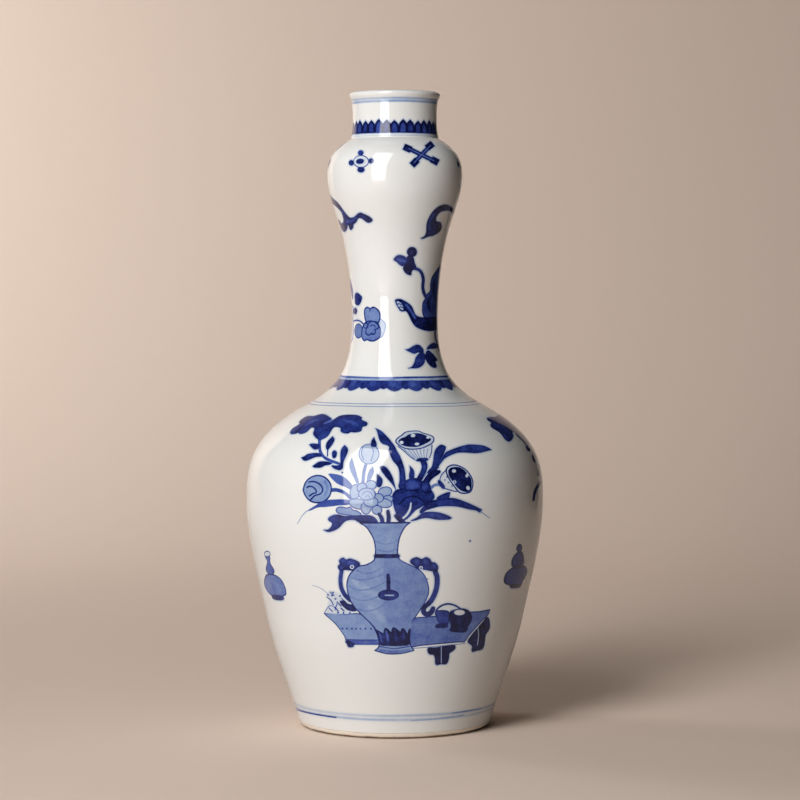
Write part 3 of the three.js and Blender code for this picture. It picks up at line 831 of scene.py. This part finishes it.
ROSETTE_DOTS = [(360.7, 152.8, 2.8, 2.6), (351.3, 162.8, 2.6, 2.8), (361, 169.7, 3.6, 2.8),
        (371.2, 160.9, 2.6, 2.6)]
ROSETTE = [
    *petal(361, 161.5, 7.6, 6, tone=0.08, edge=0.78),
    spot(DARK, 360, 161.3, 4, 2.6, -8),
    *[spot(DARK, *dot) for dot in ROSETTE_DOTS],
]
CROSS_ARMS = [((408.5, 148.5), (434, 160.8)), ((430.5, 145.5), (414, 162.8))]
CROSS_BLOCKS = [(407.5, 148.3, 24), (434.8, 160.9, 28), (429.8, 145.8, -38), (414.6, 162.6, -46)]
CROSSED_BARS = [
    *[stroke(DARK, [(*start, 4.4), (*end, 4.4)]) for start, end in CROSS_ARMS],
    *[block(DEEP, x, y, 3.9, 3.3, tilt) for x, y, tilt in CROSS_BLOCKS],
    *[line(0.5, 0.9, [start, end]) for start, end in CROSS_ARMS],
]
BULB_SCROLL = [
    fill(0.97, [(330.5, 196.5), (333, 198.5), (338, 203), (349, 217), (353, 217.5), (359, 213), (362, 213),
        (372.5, 219.5), (368.5, 222.8), (359.5, 218), (356, 222.5), (353.5, 224.5), (353.5, 227),
        (350.5, 230), (348, 225), (347.5, 228), (344, 231.8), (339, 223), (338.3, 219.5), (338.3, 219.5),
        (340, 221), (341, 223.5), (343, 223), (343.5, 219), (340.5, 211), (330.5, 201)]),
    wall_fill(0.97, [(-76, 301.4), (-84, 302.6), (-91, 305), (-97, 308.6), (-98.5, 308.2), (-89.5, 299.8),
        (-76, 298.6)]),
    stroke(STRONG, [(347, 221, 2.4), (351, 221.5, 2.8), (356, 217.5, 2)], soft=0.9),
]
BULB_LEAF = [
    fill(DEEP, [(420.5, 238.2), (420.5, 238.2), (424, 236.5), (426, 233), (427, 222.5), (432, 212.5),
        (440, 205.8), (448, 205), (454.5, 211), (454, 214.5), (451.5, 212), (448, 210.5), (440, 212.5),
        (436, 220.5), (441, 223), (440.5, 230.5), (433, 235.7), (429.5, 236.3), (422.5, 238.9)]),
    stroke(STRONG, [(429.5, 229, 2), (430, 222, 2.6), (434, 214, 2)], soft=0.9),
]

# Motifs and the angles, in degrees, at which they stand round the vase, in the order of painting
MOTIFS = [
    (BRANCH + SPIRAL_BUD, (0, -136)),
    (CLOSED_BUD + PODS + FLOWERS + STILL_LIFE, (0, 112, -136)),
    (GOURD, (0, 226)),
    (EDGE_BRANCH + SECOND_GOURD + FOOT_STROKES, (0,)),
    (NECK_FLOWER + NECK_CREATURE, (0, 181)),
    (BULB_SCROLL, (0, 173, -80)),
    (BULB_LEAF, (0, 155)),
    (ROSETTE, (0, 111, -125)),
    (CROSSED_BARS, (0, 123, -118)),
    (IRON_SPECK, (0,)),
]


def placed(marks, turn):
    """The marks turned round the vase, as new marks between half a turn to the left and to the right."""
    out = []
    for m in marks:
        loop = m["loop"] + (math.radians(turn), 0.0)
        loop[:, 0] -= 2 * math.pi * round(loop[:, 0].mean() / (2 * math.pi))
        out.append({**m, "loop": loop})
    return out


def collar_petals():
    """The row of petals round the foot of the collar, no two neighbours quite alike."""
    marks = []
    half = math.pi / COLLAR_PETALS
    for i in range(COLLAR_PETALS):
        middle = -math.pi + half * (2 * i + 1)
        lean = LEAN_SWING * math.sin(LEAN_PACE * i) * PETAL_UP
        rise = PETAL_HEIGHT * (1 + HEIGHT_SWING * math.sin(HEIGHT_PACE * i)) * PETAL_UP
        marks.append(band_mark(middle + half * (PETAL_OUT + lean), PETAL_FOOT + rise, DEEP))
        inside = middle + half * (INSIDE_WIDTH * PETAL_OUT + lean)
        tone = INSIDE_TONE + TONE_SWING * math.sin(TONE_PACE * i + 1)
        marks.append(band_mark(inside, PETAL_FOOT + INSIDE_RISE + INSIDE_HEIGHT * rise, tone))
    return marks


def lappet(middle, half_pitch, form):
    share, depth, rise, tone, soft = form
    swing = np.linspace(-1.0, 1.0, LAPPET_POINTS)
    drop = depth * (1 - rise * np.abs(swing) ** LAPPET_ROUNDNESS)
    angles = middle + share * half_pitch * np.append(swing, [1.0, -1.0])
    return band_mark(angles, LAPPET_TOP - np.append(drop, [0.0, 0.0]), tone, soft)


def lappet_band():
    """Large tongues, washed lighter to the left, with a small one between each two."""
    marks = []
    half = math.pi / LAPPETS
    for i in range(LAPPETS + 1):
        middle = -math.pi + 2 * half * i
        leaning = middle + LEAN_SWING * half * math.sin(2 * math.pi * LAPPET_WAVES * i / LAPPETS)
        marks.append(lappet(middle + half, half, SMALL_LAPPET))
        marks.append(lappet(leaning, half, LARGE_LAPPET))
        marks.append(lappet(leaning - WASH_SHIFT * half, half, LAPPET_WASH))
    return marks


def whole_painting():
    """Every mark on the vase, in the order in which it is painted, with loops that run counter-clockwise."""
    marks = [m for motif, turns in MOTIFS for turn in turns for m in placed(motif, turn)]
    marks += collar_petals() + lappet_band()
    return [{**m, "loop": m["loop"] if loop_area(m["loop"]) > 0 else m["loop"][::-1]} for m in marks]


def outer_radius(climbs):
    return wall_radius(OUTER_WALL, height_of(climbs))


def loop_area(loop):
    """Area inside a loop, below 0 where it runs clockwise."""
    x, y = loop.T
    return np.sum(x * np.roll(y, -1) - np.roll(x, -1) * y) / 2


def grown(loop, distance):
    """The loop moved outwards by a distance in mm."""
    along = unit(np.roll(loop, -1, axis=0) - np.roll(loop, 1, axis=0))
    outward = np.stack([along[:, 1], -along[:, 0]], axis=1)
    return loop + outward * (distance / outer_radius(loop[:, 1]))[:, None]


def mean_width(loop):
    """Area of a mark over half of its edge's length, in mm."""
    edge = np.linalg.norm(np.roll(loop, -1, axis=0) - loop, axis=1).sum()
    return 2 * loop_area(loop) / edge * float(outer_radius(loop[:, 1].mean()))


def line_steps(width, soft):
    """Distances from a line's middle at which its two edges begin and end to fade."""
    return [(side * width + fade * soft) / 2 for side in (-1, 1) for fade in (-1, 1)]


def edge_loops(m):
    """The loops between which a mark's edge fades, pools and bleeds."""
    steps = line_steps(m["line"], m["soft"]) if m["line"] else [-m["soft"] / 2, m["soft"] / 2]
    if m["tone"] >= STRONG and not m["line"]:
        steps.append(BLEED_REACH)
        if mean_width(m["loop"]) > 2 * POOL_REACH:
            steps.append(-POOL_REACH)
    return [grown(m["loop"], step) for step in steps]


def ring_climbs(ring, angles):
    """The middle of a ring, which wobbles a few times round the vase."""
    height, _, _, _, phase, wobble = ring
    waves = np.sin(WOBBLE_WAVES * angles + phase) + SHORT_WOBBLE * np.sin(SHORT_WOBBLE_WAVES * angles)
    return climb_of(height + wobble * waves)


def ring_tones(ring, angles):
    _, _, tone, swing, phase, _ = ring
    return tone + swing * (np.sin(angles + phase) + SHORT_SWING * np.sin(SHORT_SWING_WAVES * angles + phase))


# The sheet: joints and quarter turns that no triangle crosses, and the limits that marks are kept inside
QUARTERS = 4
WHOLE_HULL = 0
SHEET_LIMITS = climb_of([FOOT_TOP, BELLY_JOINT, NECK_JOINT, BULB_JOINT, CREASE, LIP])
SHEET_ANGLES = np.linspace(-math.pi, math.pi, COLUMNS + 1)
SHEET_LOW = (-math.pi + BORDER, BORDER)
SHEET_HIGH = (math.pi - BORDER, SHEET_LIMITS[-1] - BORDER)


def grid_rows():
    rows = []
    for low, high in zip(SHEET_LIMITS[:-1], SHEET_LIMITS[1:]):
        rows.append(np.linspace(low, high, max(2, round((high - low) / ROW_STEP)), endpoint=False))
    return np.concatenate(rows + [SHEET_LIMITS[-1:]])


def sheet_paths(marks):
    """Lines that the triangles keep, each with whether it is closed: joints, quarter turns, rings, marks."""
    rows = grid_rows()
    paths = []
    for limit in SHEET_LIMITS:
        paths.append((np.stack([SHEET_ANGLES, np.full_like(SHEET_ANGLES, limit)], axis=1), False))
    for angle in SHEET_ANGLES[::COLUMNS // QUARTERS]:
        paths.append((np.stack([np.full_like(rows, angle), rows], axis=1), False))
    for ring in RINGS:
        middle = ring_climbs(ring, SHEET_ANGLES)
        for step in line_steps(ring[1], LINE_EDGE * ring[1]):
            paths.append((np.stack([SHEET_ANGLES, middle + step / outer_radius(middle)], axis=1), False))
    for m in marks:
        paths += [(np.clip(loop, SHEET_LOW, SHEET_HIGH), True) for loop in edge_loops(m)]
    return paths


def path_edges(paths):
    """Edges along the paths, as pairs of numbers of their points, which are counted through all paths."""
    edges = []
    start = 0
    for points, closed in paths:
        index = np.arange(start, start + len(points))
        pairs = np.stack([index, np.roll(index, -1)], axis=1)
        edges.append(pairs if closed else pairs[:-1])
        start += len(points)
    return np.concatenate(edges).tolist()


def signed_distance(loop, points):
    """Distance of each point from the loop, below 0 inside it."""
    start = loop[None]
    step = (np.roll(loop, -1, axis=0) - loop)[None]
    away = points[:, None] - start
    share = np.clip((away * step).sum(2) / np.maximum((step ** 2).sum(2), TINY ** 2), 0, 1)
    nearest = np.sqrt(((away - share[..., None] * step) ** 2).sum(2).min(1))
    above = start[..., 1] > points[:, None, 1]
    end_above = np.roll(loop, -1, axis=0)[None, :, 1] > points[:, None, 1]
    rise = np.where(step[..., 1] == 0, TINY ** 2, step[..., 1])
    crossing = start[..., 0] + away[..., 1] * step[..., 0] / rise
    inside = ((above != end_above) & (points[:, None, 0] < crossing)).sum(1) % 2 == 1
    return np.where(inside, -nearest, nearest)


def lay_mark(m, points, radius, tones):
    """Paints one mark over the tones of the sheet's points, a batch of points at a time."""
    reach = (m["line"] / 2 + m["soft"] + BLEED_REACH) / NARROWEST
    low = m["loop"].min(0) - reach
    high = m["loop"].max(0) + reach
    near = np.nonzero(((points > low) & (points < high)).all(1))[0]
    for part in np.array_split(near, len(near) // BATCH + 1):
        distance = signed_distance(m["loop"], points[part]) * radius[part]
        if m["line"]:
            distance = np.abs(distance) - m["line"] / 2
        cover = np.clip(0.5 - distance / m["soft"], 0, 1)
        tone = m["tone"]
        if tone >= STRONG and not m["line"]:
            bleed = BLEED_TONE * min(1.0, mean_width(m["loop"]) / BLEED_WIDTH)
            tones[part] = np.maximum(tones[part], bleed * np.clip(1 - distance / BLEED_REACH, 0, 1))
            tone = tone + POOL_EDGE - POOL_FADE * np.clip(-distance / POOL_REACH, 0, 1)
        tones[part] += (tone - tones[part]) * cover


def lay_ring(ring, points, radius, tones):
    """Paints one ring line over the tones of the sheet's points."""
    distance = np.abs(points[:, 1] - ring_climbs(ring, points[:, 0])) * radius - ring[1] / 2
    cover = np.clip(0.5 - distance / (LINE_EDGE * ring[1]), 0, 1)
    tones += (ring_tones(ring, points[:, 0]) - tones) * cover


def painted_sheet():
    """The outer wall as a flat sheet of triangles that follow the brush marks, with each point's tone."""
    marks = whole_painting()
    paths = sheet_paths(marks)
    grid = np.stack(np.meshgrid(SHEET_ANGLES, grid_rows()), axis=2).reshape(-1, 2)
    corners = np.concatenate([path for path, _ in paths] + [grid])
    corners = [Vector(place) for place in corners]
    verts, _, faces, _, _, _ = delaunay_2d_cdt(corners, path_edges(paths), [], WHOLE_HULL, WELD, False)
    points = np.array([tuple(v) for v in verts])
    radius = outer_radius(points[:, 1])
    tones = np.zeros(len(points))
    for ring in RINGS:
        lay_ring(ring, points, radius, tones)
    for m in marks:
        lay_mark(m, points, radius, tones)
    return points, np.array(faces), tones


class Shell:
    """The mesh of one piece. A row is its points' angles, their numbers, and the row's radius and height."""

    def __init__(self):
        self.places = []
        self.tones = []
        self.faces = []
        self.normals = []
        self.uvs = []
        self.bare = []
        self.count = 0

    def add_places(self, angles, radii, heights, tones):
        self.places.append(np.stack([radii * np.sin(angles), -radii * np.cos(angles), heights], axis=1))
        self.tones.append(tones)
        self.count += len(angles)
        return np.arange(self.count - len(angles), self.count)

    def add_faces(self, faces, normals, uvs, bare):
        self.faces.append(faces)
        self.normals.append(normals)
        self.uvs.append(uvs)
        self.bare.append(np.full(len(faces), bare, dtype=np.int32))

    def row(self, radius, height):
        """A turned row of points, or one point on the axis."""
        count = TURNED_COLUMNS if radius > 0 else 1
        angles = -math.pi + np.arange(count) * 2 * math.pi / count
        index = self.add_places(angles, np.full(count, radius), np.full(count, height), np.zeros(count))
        return angles, index, (radius, height)

    def strip(self, lower, upper, normal_low, normal_high, band, bare):
        """Triangles between two rows. Normals have an outward and an upward part, band is v at both rows."""
        angles_a, angles_b = [np.append(row[0], row[0][0] + 2 * math.pi) for row in (lower, upper)]
        index_a, index_b = [np.append(row[1], row[1][0]) for row in (lower, upper)]
        # Walk round both rows at once, each time on to the point that comes next by angle
        order = np.argsort(np.concatenate([angles_a[1:], angles_b[1:]]), kind="stable")
        along_a = order < len(angles_a) - 1
        to_a = np.cumsum(along_a)
        to_b = np.cumsum(~along_a)
        a = to_a - along_a
        b = to_b - ~along_a
        next_index = np.where(along_a, index_a[to_a], index_b[to_b])
        next_angle = np.where(along_a, angles_a[to_a], angles_b[to_b])
        faces = np.stack([index_a[a], next_index, index_b[b]], axis=1)
        turns = np.stack([angles_a[a], next_angle, angles_b[b]], axis=1)
        raised = np.stack([np.zeros_like(along_a), ~along_a, np.ones_like(along_a)], axis=1)
        whole = (faces != np.roll(faces, 1, axis=1)).all(1)
        turns = turns[whole]
        raised = raised[whole]
        outward = np.where(raised, normal_high[0], normal_low[0])
        upward = np.where(raised, normal_high[1], normal_low[1])
        normals = np.stack([outward * np.sin(turns), -outward * np.cos(turns), upward], axis=2)
        across = UV_MARGIN + (1 - 2 * UV_MARGIN) * (turns + math.pi) / (2 * math.pi)
        uvs = np.stack([across, np.where(raised, band[1], band[0])], axis=2)
        self.add_faces(faces[whole], normals, uvs, bare)

    def turn(self, first, profile, last, smooth, band, bare=0):
        """Strips from the row first, through rows at the profile's points, to the row last, where given."""
        rows = [first] if first else []
        rows += [self.row(*place) for place in profile]
        rows += [last] if last else []
        steps = np.diff([row[2] for row in rows], axis=0)
        across = unit(np.stack([steps[:, 1], -steps[:, 0]], axis=1))
        lows = across.copy()
        highs = across.copy()
        if smooth:
            lows[1:] = unit(across[1:] + across[:-1])
            highs[:-1] = lows[1:]
        lengths = np.concatenate([[0.0], np.cumsum(np.linalg.norm(steps, axis=1))])
        rises = band[0] + (band[1] - band[0]) * lengths / lengths[-1]
        for k in range(len(steps)):
            self.strip(rows[k], rows[k + 1], lows[k], highs[k], rises[k:k + 2], bare)
        return rows[-1]


def sheet_uvs(turns, lengths, tiles_across):
    """Places on the baked picture: quarter turns of the wall side by side, or two by two."""
    position = turns / (math.pi / 2) + QUARTERS / 2
    quarter = np.clip(np.floor(position.mean(1)), 0, QUARTERS - 1).astype(int)[:, None]
    wide = 1.0 / tiles_across
    high = (1.0 - SHEET_BOTTOM) * tiles_across / QUARTERS
    u = quarter % tiles_across * wide + TILE_GAP + (position - quarter) * (wide - 2 * TILE_GAP)
    v = SHEET_BOTTOM + quarter // tiles_across * high + TILE_GAP + lengths * (high - 2 * TILE_GAP)
    return np.stack([u, v], axis=2)


def by_order(flat, chosen, axis):
    """Numbers of the chosen points, in the order of their angle (0) or climb (1)."""
    found = np.nonzero(chosen)[0]
    return found[np.argsort(flat[found, axis])]


def add_sheet(shell, sheet, low, high, tiles_across):
    """The sheet between two heights, joined at the back. Returns its lower and upper border as rows."""
    points, faces, tones = sheet
    limits = climb_of([low, high])
    middle = points[faces, 1].mean(1)
    part = faces[(middle > limits[0]) & (middle < limits[1])]
    used = np.unique(part)
    flat = points[used]
    right = by_order(flat, flat[:, 0] > math.pi - TINY, 1)
    same = np.arange(len(used))
    same[right] = by_order(flat, flat[:, 0] < TINY - math.pi, 1)
    kept = np.setdiff1d(same, right)
    index = np.searchsorted(kept, same[np.searchsorted(used, part)])
    flat = flat[kept]
    heights = np.clip(height_of(flat[:, 1]), low, high)
    radii = wall_radius(OUTER_WALL, np.clip(heights, low + TINY, high - TINY))
    shell.add_places(flat[:, 0], radii, heights, tones[used[kept]])
    turns = points[part, 0]
    face_heights = np.clip(height_of(points[part, 1]), low + TINY, high - TINY)
    slopes = wall_slope(OUTER_WALL, face_heights)
    normals = unit(np.stack([np.sin(turns), -np.cos(turns), -slopes], axis=2))
    start, end = np.interp([low, high], TRACE_Z, TRACE_LENGTH)
    lengths = (np.interp(face_heights, TRACE_Z, TRACE_LENGTH) - start) / (end - start)
    shell.add_faces(index, normals, sheet_uvs(turns, lengths, tiles_across), 0)
    borders = []
    for height, limit, side in ((low, limits[0], 1), (high, limits[1], -1)):
        rim = by_order(flat, np.abs(flat[:, 1] - limit) < TINY, 0)
        borders.append((flat[rim, 0], rim, (side_radius(OUTER_WALL, height, side), height)))
    return borders


def side_radius(wall, height, side):
    """Radius of a wall just above (1) or below (-1) a height."""
    return float(wall_radius(wall, height + side * TINY))


def inner_profile(high, low, step):
    heights = np.linspace(high, low, max(3, round((high - low) / step)))[1:]
    radii = wall_radius(INNER_WALL, np.clip(heights, low + TINY, high - TINY))
    return list(zip(radii.tolist(), heights.tolist()))


def joint_face(height, side):
    """Points from the glaze over a joint to the inner wall, on the joint's upper (1) or lower (-1) face."""
    level = height + side * SLIP_HALF
    outer = side_radius(OUTER_WALL, height, side) - GLAZE_OVER_JOINT
    return [(outer, level), (side_radius(INNER_WALL, level, side), level)]


def rounded(radius, height, inward, rise, degrees):
    """Points round a corner that starts upright at a radius and height and turns inwards."""
    angles = np.radians(np.arange(CORNER_DEGREES, degrees + CORNER_DEGREES, CORNER_DEGREES)).tolist()
    return [(radius - inward * (1 - math.cos(a)), height + rise * math.sin(a)) for a in angles]


def floor_profile():
    """From the wall inside, round the corner of the floor, to the axis."""
    corner = FLOOR_HEIGHT + FLOOR_FILLET
    radius = float(wall_radius(INNER_WALL, corner))
    fillet = rounded(radius, corner, FLOOR_FILLET, -FLOOR_FILLET, 90)
    return fillet + [(FLOOR_RING, FLOOR_HEIGHT), (0.0, FLOOR_HEIGHT)]


def crown_profile():
    """Over the rounded top of the lip, from outside to inside."""
    return rounded(OUTER_WALL[-1][1], LIP, LIP_THICKNESS / 2, LIP_CROWN, 180)


def lower_body(sheet):
    """The cup with its base, foot ring and floor."""
    shell = Shell()
    bottom, top = add_sheet(shell, sheet, FOOT_TOP, BELLY_JOINT, 2)
    base = shell.turn(None, BASE, None, True, FOOT_BAND)
    base = shell.turn(base, BASE_EDGE, None, True, FOOT_BAND)
    shell.turn(base, FOOT_RING, bottom, True, FOOT_BAND, bare=1)
    end = shell.turn(top, joint_face(BELLY_JOINT, -1), None, False, END_BAND)
    wall = inner_profile(BELLY_JOINT - SLIP_HALF, FLOOR_HEIGHT + FLOOR_FILLET, BODY_STEP)
    shell.turn(end, wall + floor_profile(), None, True, INNER_BAND)
    return shell


def middle_section(sheet, low, high, tiles_across):
    """A thrown section between two joints."""
    shell = Shell()
    bottom, top = add_sheet(shell, sheet, low, high, tiles_across)
    end = shell.turn(top, joint_face(high, -1), None, False, END_BAND)
    wall = inner_profile(high - SLIP_HALF, low + SLIP_HALF, INNER_STEP)
    end = shell.turn(end, wall, None, True, INNER_BAND)
    shell.turn(end, joint_face(low, 1)[:1], bottom, False, END_BAND)
    return shell


def mouth_collar(sheet):
    """The collar with its rounded lip."""
    shell = Shell()
    bottom, top = add_sheet(shell, sheet, CREASE, LIP, QUARTERS)
    crown = shell.turn(top, crown_profile(), None, True, FOOT_BAND)
    wall = inner_profile(LIP, CREASE + SLIP_HALF, INNER_STEP)
    end = shell.turn(crown, wall, None, True, INNER_BAND)
    shell.turn(end, joint_face(CREASE, 1)[:1], bottom, False, END_BAND)
    return shell


def slip_ring(height):
    """The slip in a joint, with the ridge that was wiped over it inside."""
    shell = Shell()
    swing = np.linspace(1.0, -1.0, RIDGE_POINTS)
    heights = height + RIDGE_LAP * swing
    walls = wall_radius(INNER_WALL, heights + np.where(swing < 0, -TINY, TINY))
    ridge = zip((walls - RIDGE_HEIGHT * (0.5 + 0.5 * np.cos(math.pi * swing))).tolist(), heights.tolist())
    lower = joint_face(height, -1)
    tip = (side_radius(OUTER_WALL, height, -1) - GLAZE_OVER_JOINT / 2, height)
    loop = [lower[1], lower[0], tip, *joint_face(height, 1), *ridge, lower[1]]
    shell.turn(None, loop, None, False, WHOLE_BAND)
    return shell


def make_piece(name, shell, materials):
    """A Blender object from a shell, smooth by the true direction of the wall."""
    faces = np.concatenate(shell.faces)
    mesh = bpy.data.meshes.new(name)
    mesh.from_pydata((np.concatenate(shell.places) * MM).tolist(), [], faces.tolist())
    for material in materials:
        mesh.materials.append(material)
    mesh.polygons.foreach_set("material_index", np.concatenate(shell.bare))
    mesh.polygons.foreach_set("use_smooth", np.ones(len(faces), dtype=bool))
    tones = mesh.attributes.new("cobalt", "FLOAT", "POINT")
    tones.data.foreach_set("value", np.concatenate(shell.tones).astype(np.float32))
    uv_map = mesh.uv_layers.new(name="OFBake")
    uv_map.data.foreach_set("uv", np.concatenate(shell.uvs).astype(np.float32).ravel())
    mesh.normals_split_custom_set(np.concatenate(shell.normals).reshape(-1, 3).tolist())
    return linked(name, mesh)


def linked(name, data):
    obj = bpy.data.objects.new(name, data)
    bpy.context.scene.collection.objects.link(obj)
    return obj


class Surface:
    """A material, its shader and the nodes that feed it."""

    def __init__(self, name):
        self.material = bpy.data.materials.new(name)
        self.material.use_nodes = True
        self.tree = self.material.node_tree
        self.shader = self.tree.nodes["Principled BSDF"]

    def add(self, kind, values=(), wires=()):
        """A node with values and wires, each given with the name or number of its input."""
        node = self.tree.nodes.new("ShaderNode" + kind)
        for name, value in values:
            node.inputs[name].default_value = value
        for name, output in wires:
            self.tree.links.new(output, node.inputs[name])
        return node

    def feed(self, name, output):
        self.tree.links.new(output, self.shader.inputs[name])

    def place(self):
        return self.add("TexCoord").outputs["Object"]

    def noise(self, kind):
        values = [("Scale", kind[0]), ("Detail", kind[1])]
        return self.add("TexNoise", values, [("Vector", self.place())]).outputs["Fac"]

    def ranged(self, value, target, span=NOISE_RANGE):
        """The part of the value inside the span, spread over the target."""
        values = [("From Min", span[0]), ("From Max", span[1]), ("To Min", target[0]), ("To Max", target[1])]
        return self.add("MapRange", values, [("Value", value)]).outputs["Result"]

    def maths(self, operation, first, second):
        node = self.add("Math", wires=[(0, first), (1, second)])
        node.operation = operation
        return node.outputs[0]

    def graded(self, value, colours):
        """A colour for each value from 0 to 1, from a list of places and colours."""
        ramp = self.add("ValToRGB", wires=[("Fac", value)])
        stops = ramp.color_ramp.elements
        stops[0].color = (*colours[0][1], 1)
        stops[1].color = (*colours[-1][1], 1)
        for place, colour in colours[1:-1]:
            stops.new(place).color = (*colour, 1)
        return ramp.outputs["Color"]

    def bump(self, height, form):
        values = [("Strength", form[0]), ("Distance", form[1])]
        self.feed("Normal", self.add("Bump", values, [("Height", height)]).outputs["Normal"])


def painted_porcelain():
    """Clear glaze over cobalt that has pooled unevenly."""
    surface = Surface("painted_porcelain")
    cobalt = surface.add("Attribute")
    cobalt.attribute_name = "cobalt"
    pooled = surface.ranged(surface.noise(POOLING), POOLING_SHARES)
    brushed = surface.ranged(surface.noise(BRUSHWORK), BRUSHWORK_SHARES)
    uneven = surface.maths("MULTIPLY", pooled, brushed)
    tone = surface.maths("MULTIPLY", cobalt.outputs["Fac"], uneven)
    surface.feed("Base Color", surface.graded(tone, COBALT_RAMP))
    surface.feed("Roughness", surface.ranged(surface.noise(GLAZE_GLOSS), GLAZE_ROUGHNESS))
    surface.shader.inputs["IOR"].default_value = GLAZE_IOR
    surface.bump(surface.noise(GLAZE_WAVES), GLAZE_BUMP)
    return surface.material


def bare_biscuit():
    """Unglazed foot ring, with painted contact shade where it stands on the floor, and grey where the glaze
    ends.
    """
    surface = Surface("bare_biscuit")
    height = surface.add("SeparateXYZ", wires=[("Vector", surface.place())]).outputs["Z"]
    share = surface.ranged(height, (0, 1), (0, FOOT_TOP * MM))
    # A noise wobbles the top of the painted shade and the grey band at the glaze's edge
    edge_wobble = surface.ranged(surface.noise(FOOT_EDGE_WOBBLE), FOOT_EDGE_WOBBLE_RISE)
    surface.feed("Base Color", surface.graded(surface.maths("ADD", share, edge_wobble), FOOT_RAMP_WITH_PAINTED_SHADE))
    surface.shader.inputs["Roughness"].default_value = FOOT_ROUGHNESS
    surface.bump(surface.noise(FOOT_GRAIN), FOOT_BUMP)
    return surface.material


def dried_slip():
    """Slip wiped smooth with a wet finger, thicker and paler in places."""
    surface = Surface("dried_slip")
    wiped = surface.noise(SLIP_WIPES)
    surface.feed("Base Color", surface.graded(surface.ranged(wiped, (0, 1)), SLIP_RAMP))
    surface.feed("Roughness", surface.ranged(wiped, SLIP_ROUGHNESS))
    surface.bump(surface.noise(SLIP_GRAIN), SLIP_BUMP)
    return surface.material


def add_object(obj, node):
    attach(obj, "root")
    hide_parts(node)


def build_vase():
    sheet = painted_sheet()
    glazed = [painted_porcelain(), bare_biscuit()]
    sections = {
        "lower_body": lower_body(sheet),
        "shoulder": middle_section(sheet, BELLY_JOINT, NECK_JOINT, 2),
        "neck": middle_section(sheet, NECK_JOINT, BULB_JOINT, QUARTERS),
        "garlic_bulb": middle_section(sheet, BULB_JOINT, CREASE, QUARTERS),
        "mouth_collar": mouth_collar(sheet),
    }
    for node, shell in sections.items():
        add_object(make_piece("painted_" + node, shell, glazed), node)
    slip = [dried_slip()]
    seams = {
        "belly_slip_seam": BELLY_JOINT,
        "neck_slip_seam": NECK_JOINT,
        "bulb_slip_seam": BULB_JOINT,
        "collar_slip_seam": CREASE,
    }
    for node, height in seams.items():
        add_object(make_piece("wiped_" + node, slip_ring(height), slip), node)


def build_stage():
    """A wide floor that sweeps up into a narrower backdrop."""
    profile = [(FLOOR_SIDES, FLOOR_FRONT, 0.0), (FLOOR_SIDES, BEND_START, 0.0)]
    for angle in np.radians(np.arange(BEND_DEGREES, 90 + BEND_DEGREES, BEND_DEGREES)):
        y = BEND_START + BEND_RADIUS * math.sin(angle)
        profile.append((BACKDROP_SIDES, y, BEND_RADIUS * (1 - math.cos(angle))))
    profile.append((BACKDROP_SIDES, BEND_START + BEND_RADIUS, BACKDROP_TOP))
    verts = [(x, y, z) for sides, y, z in profile for x in sides]
    faces = [(2 * i, 2 * i + 1, 2 * i + 3, 2 * i + 2) for i in range(len(profile) - 1)]
    mesh = bpy.data.meshes.new("sweep")
    mesh.from_pydata(verts, [], faces)
    mesh.polygons.foreach_set("use_smooth", np.ones(len(faces), dtype=bool))
    paper = Surface("sweep")
    paper.shader.inputs["Base Color"].default_value = STAGE_COLOUR
    paper.shader.inputs["Roughness"].default_value = STAGE_ROUGHNESS
    paper.shader.inputs["Specular IOR Level"].default_value = STAGE_SPECULAR
    mesh.materials.append(paper.material)
    linked("sweep", mesh)


def add_light(name, panel):
    azimuth, elevation, distance, wide, high, power, spread, target = panel
    light = bpy.data.lights.new(name, "AREA")
    light.shape = "RECTANGLE"
    light.size = wide
    light.size_y = high
    light.energy = power
    light.spread = math.radians(spread)
    obj = linked(name, light)
    turn = math.radians(azimuth)
    rise = math.radians(elevation)
    away = Vector((math.sin(turn) * math.cos(rise), -math.cos(turn) * math.cos(rise), math.sin(rise)))
    obj.location = Vector(target) + away * distance
    obj.rotation_euler = (-away).to_track_quat("-Z", "Y").to_euler()
    return obj


def build_light():
    """The window shows only in the glaze, and the other panels only light."""
    add_light("key", KEY).visible_glossy = False
    add_light("window", WINDOW).visible_diffuse = False
    add_light("backdrop", BACKDROP).visible_glossy = False
    world = bpy.data.worlds.new("studio")
    world.use_nodes = True
    sky = world.node_tree.nodes["Background"]
    sky.inputs["Color"].default_value = STUDIO_COLOUR
    sky.inputs["Strength"].default_value = STUDIO_STRENGTH
    bpy.context.scene.world = world


def build_camera():
    camera = bpy.data.cameras.new("camera")
    camera.sensor_width = SENSOR_MM
    camera.lens = FOCAL_PX / PHOTO_PX * SENSOR_MM
    obj = linked("camera", camera)
    obj.location = CAMERA_PLACE * MM
    obj.rotation_euler = (math.pi / 2 - CAMERA_PITCH, 0.0, 0.0)
    bpy.context.scene.camera = obj


build_vase()
build_stage()
build_light()
build_camera()
bpy.context.scene.view_settings.view_transform = "Standard"
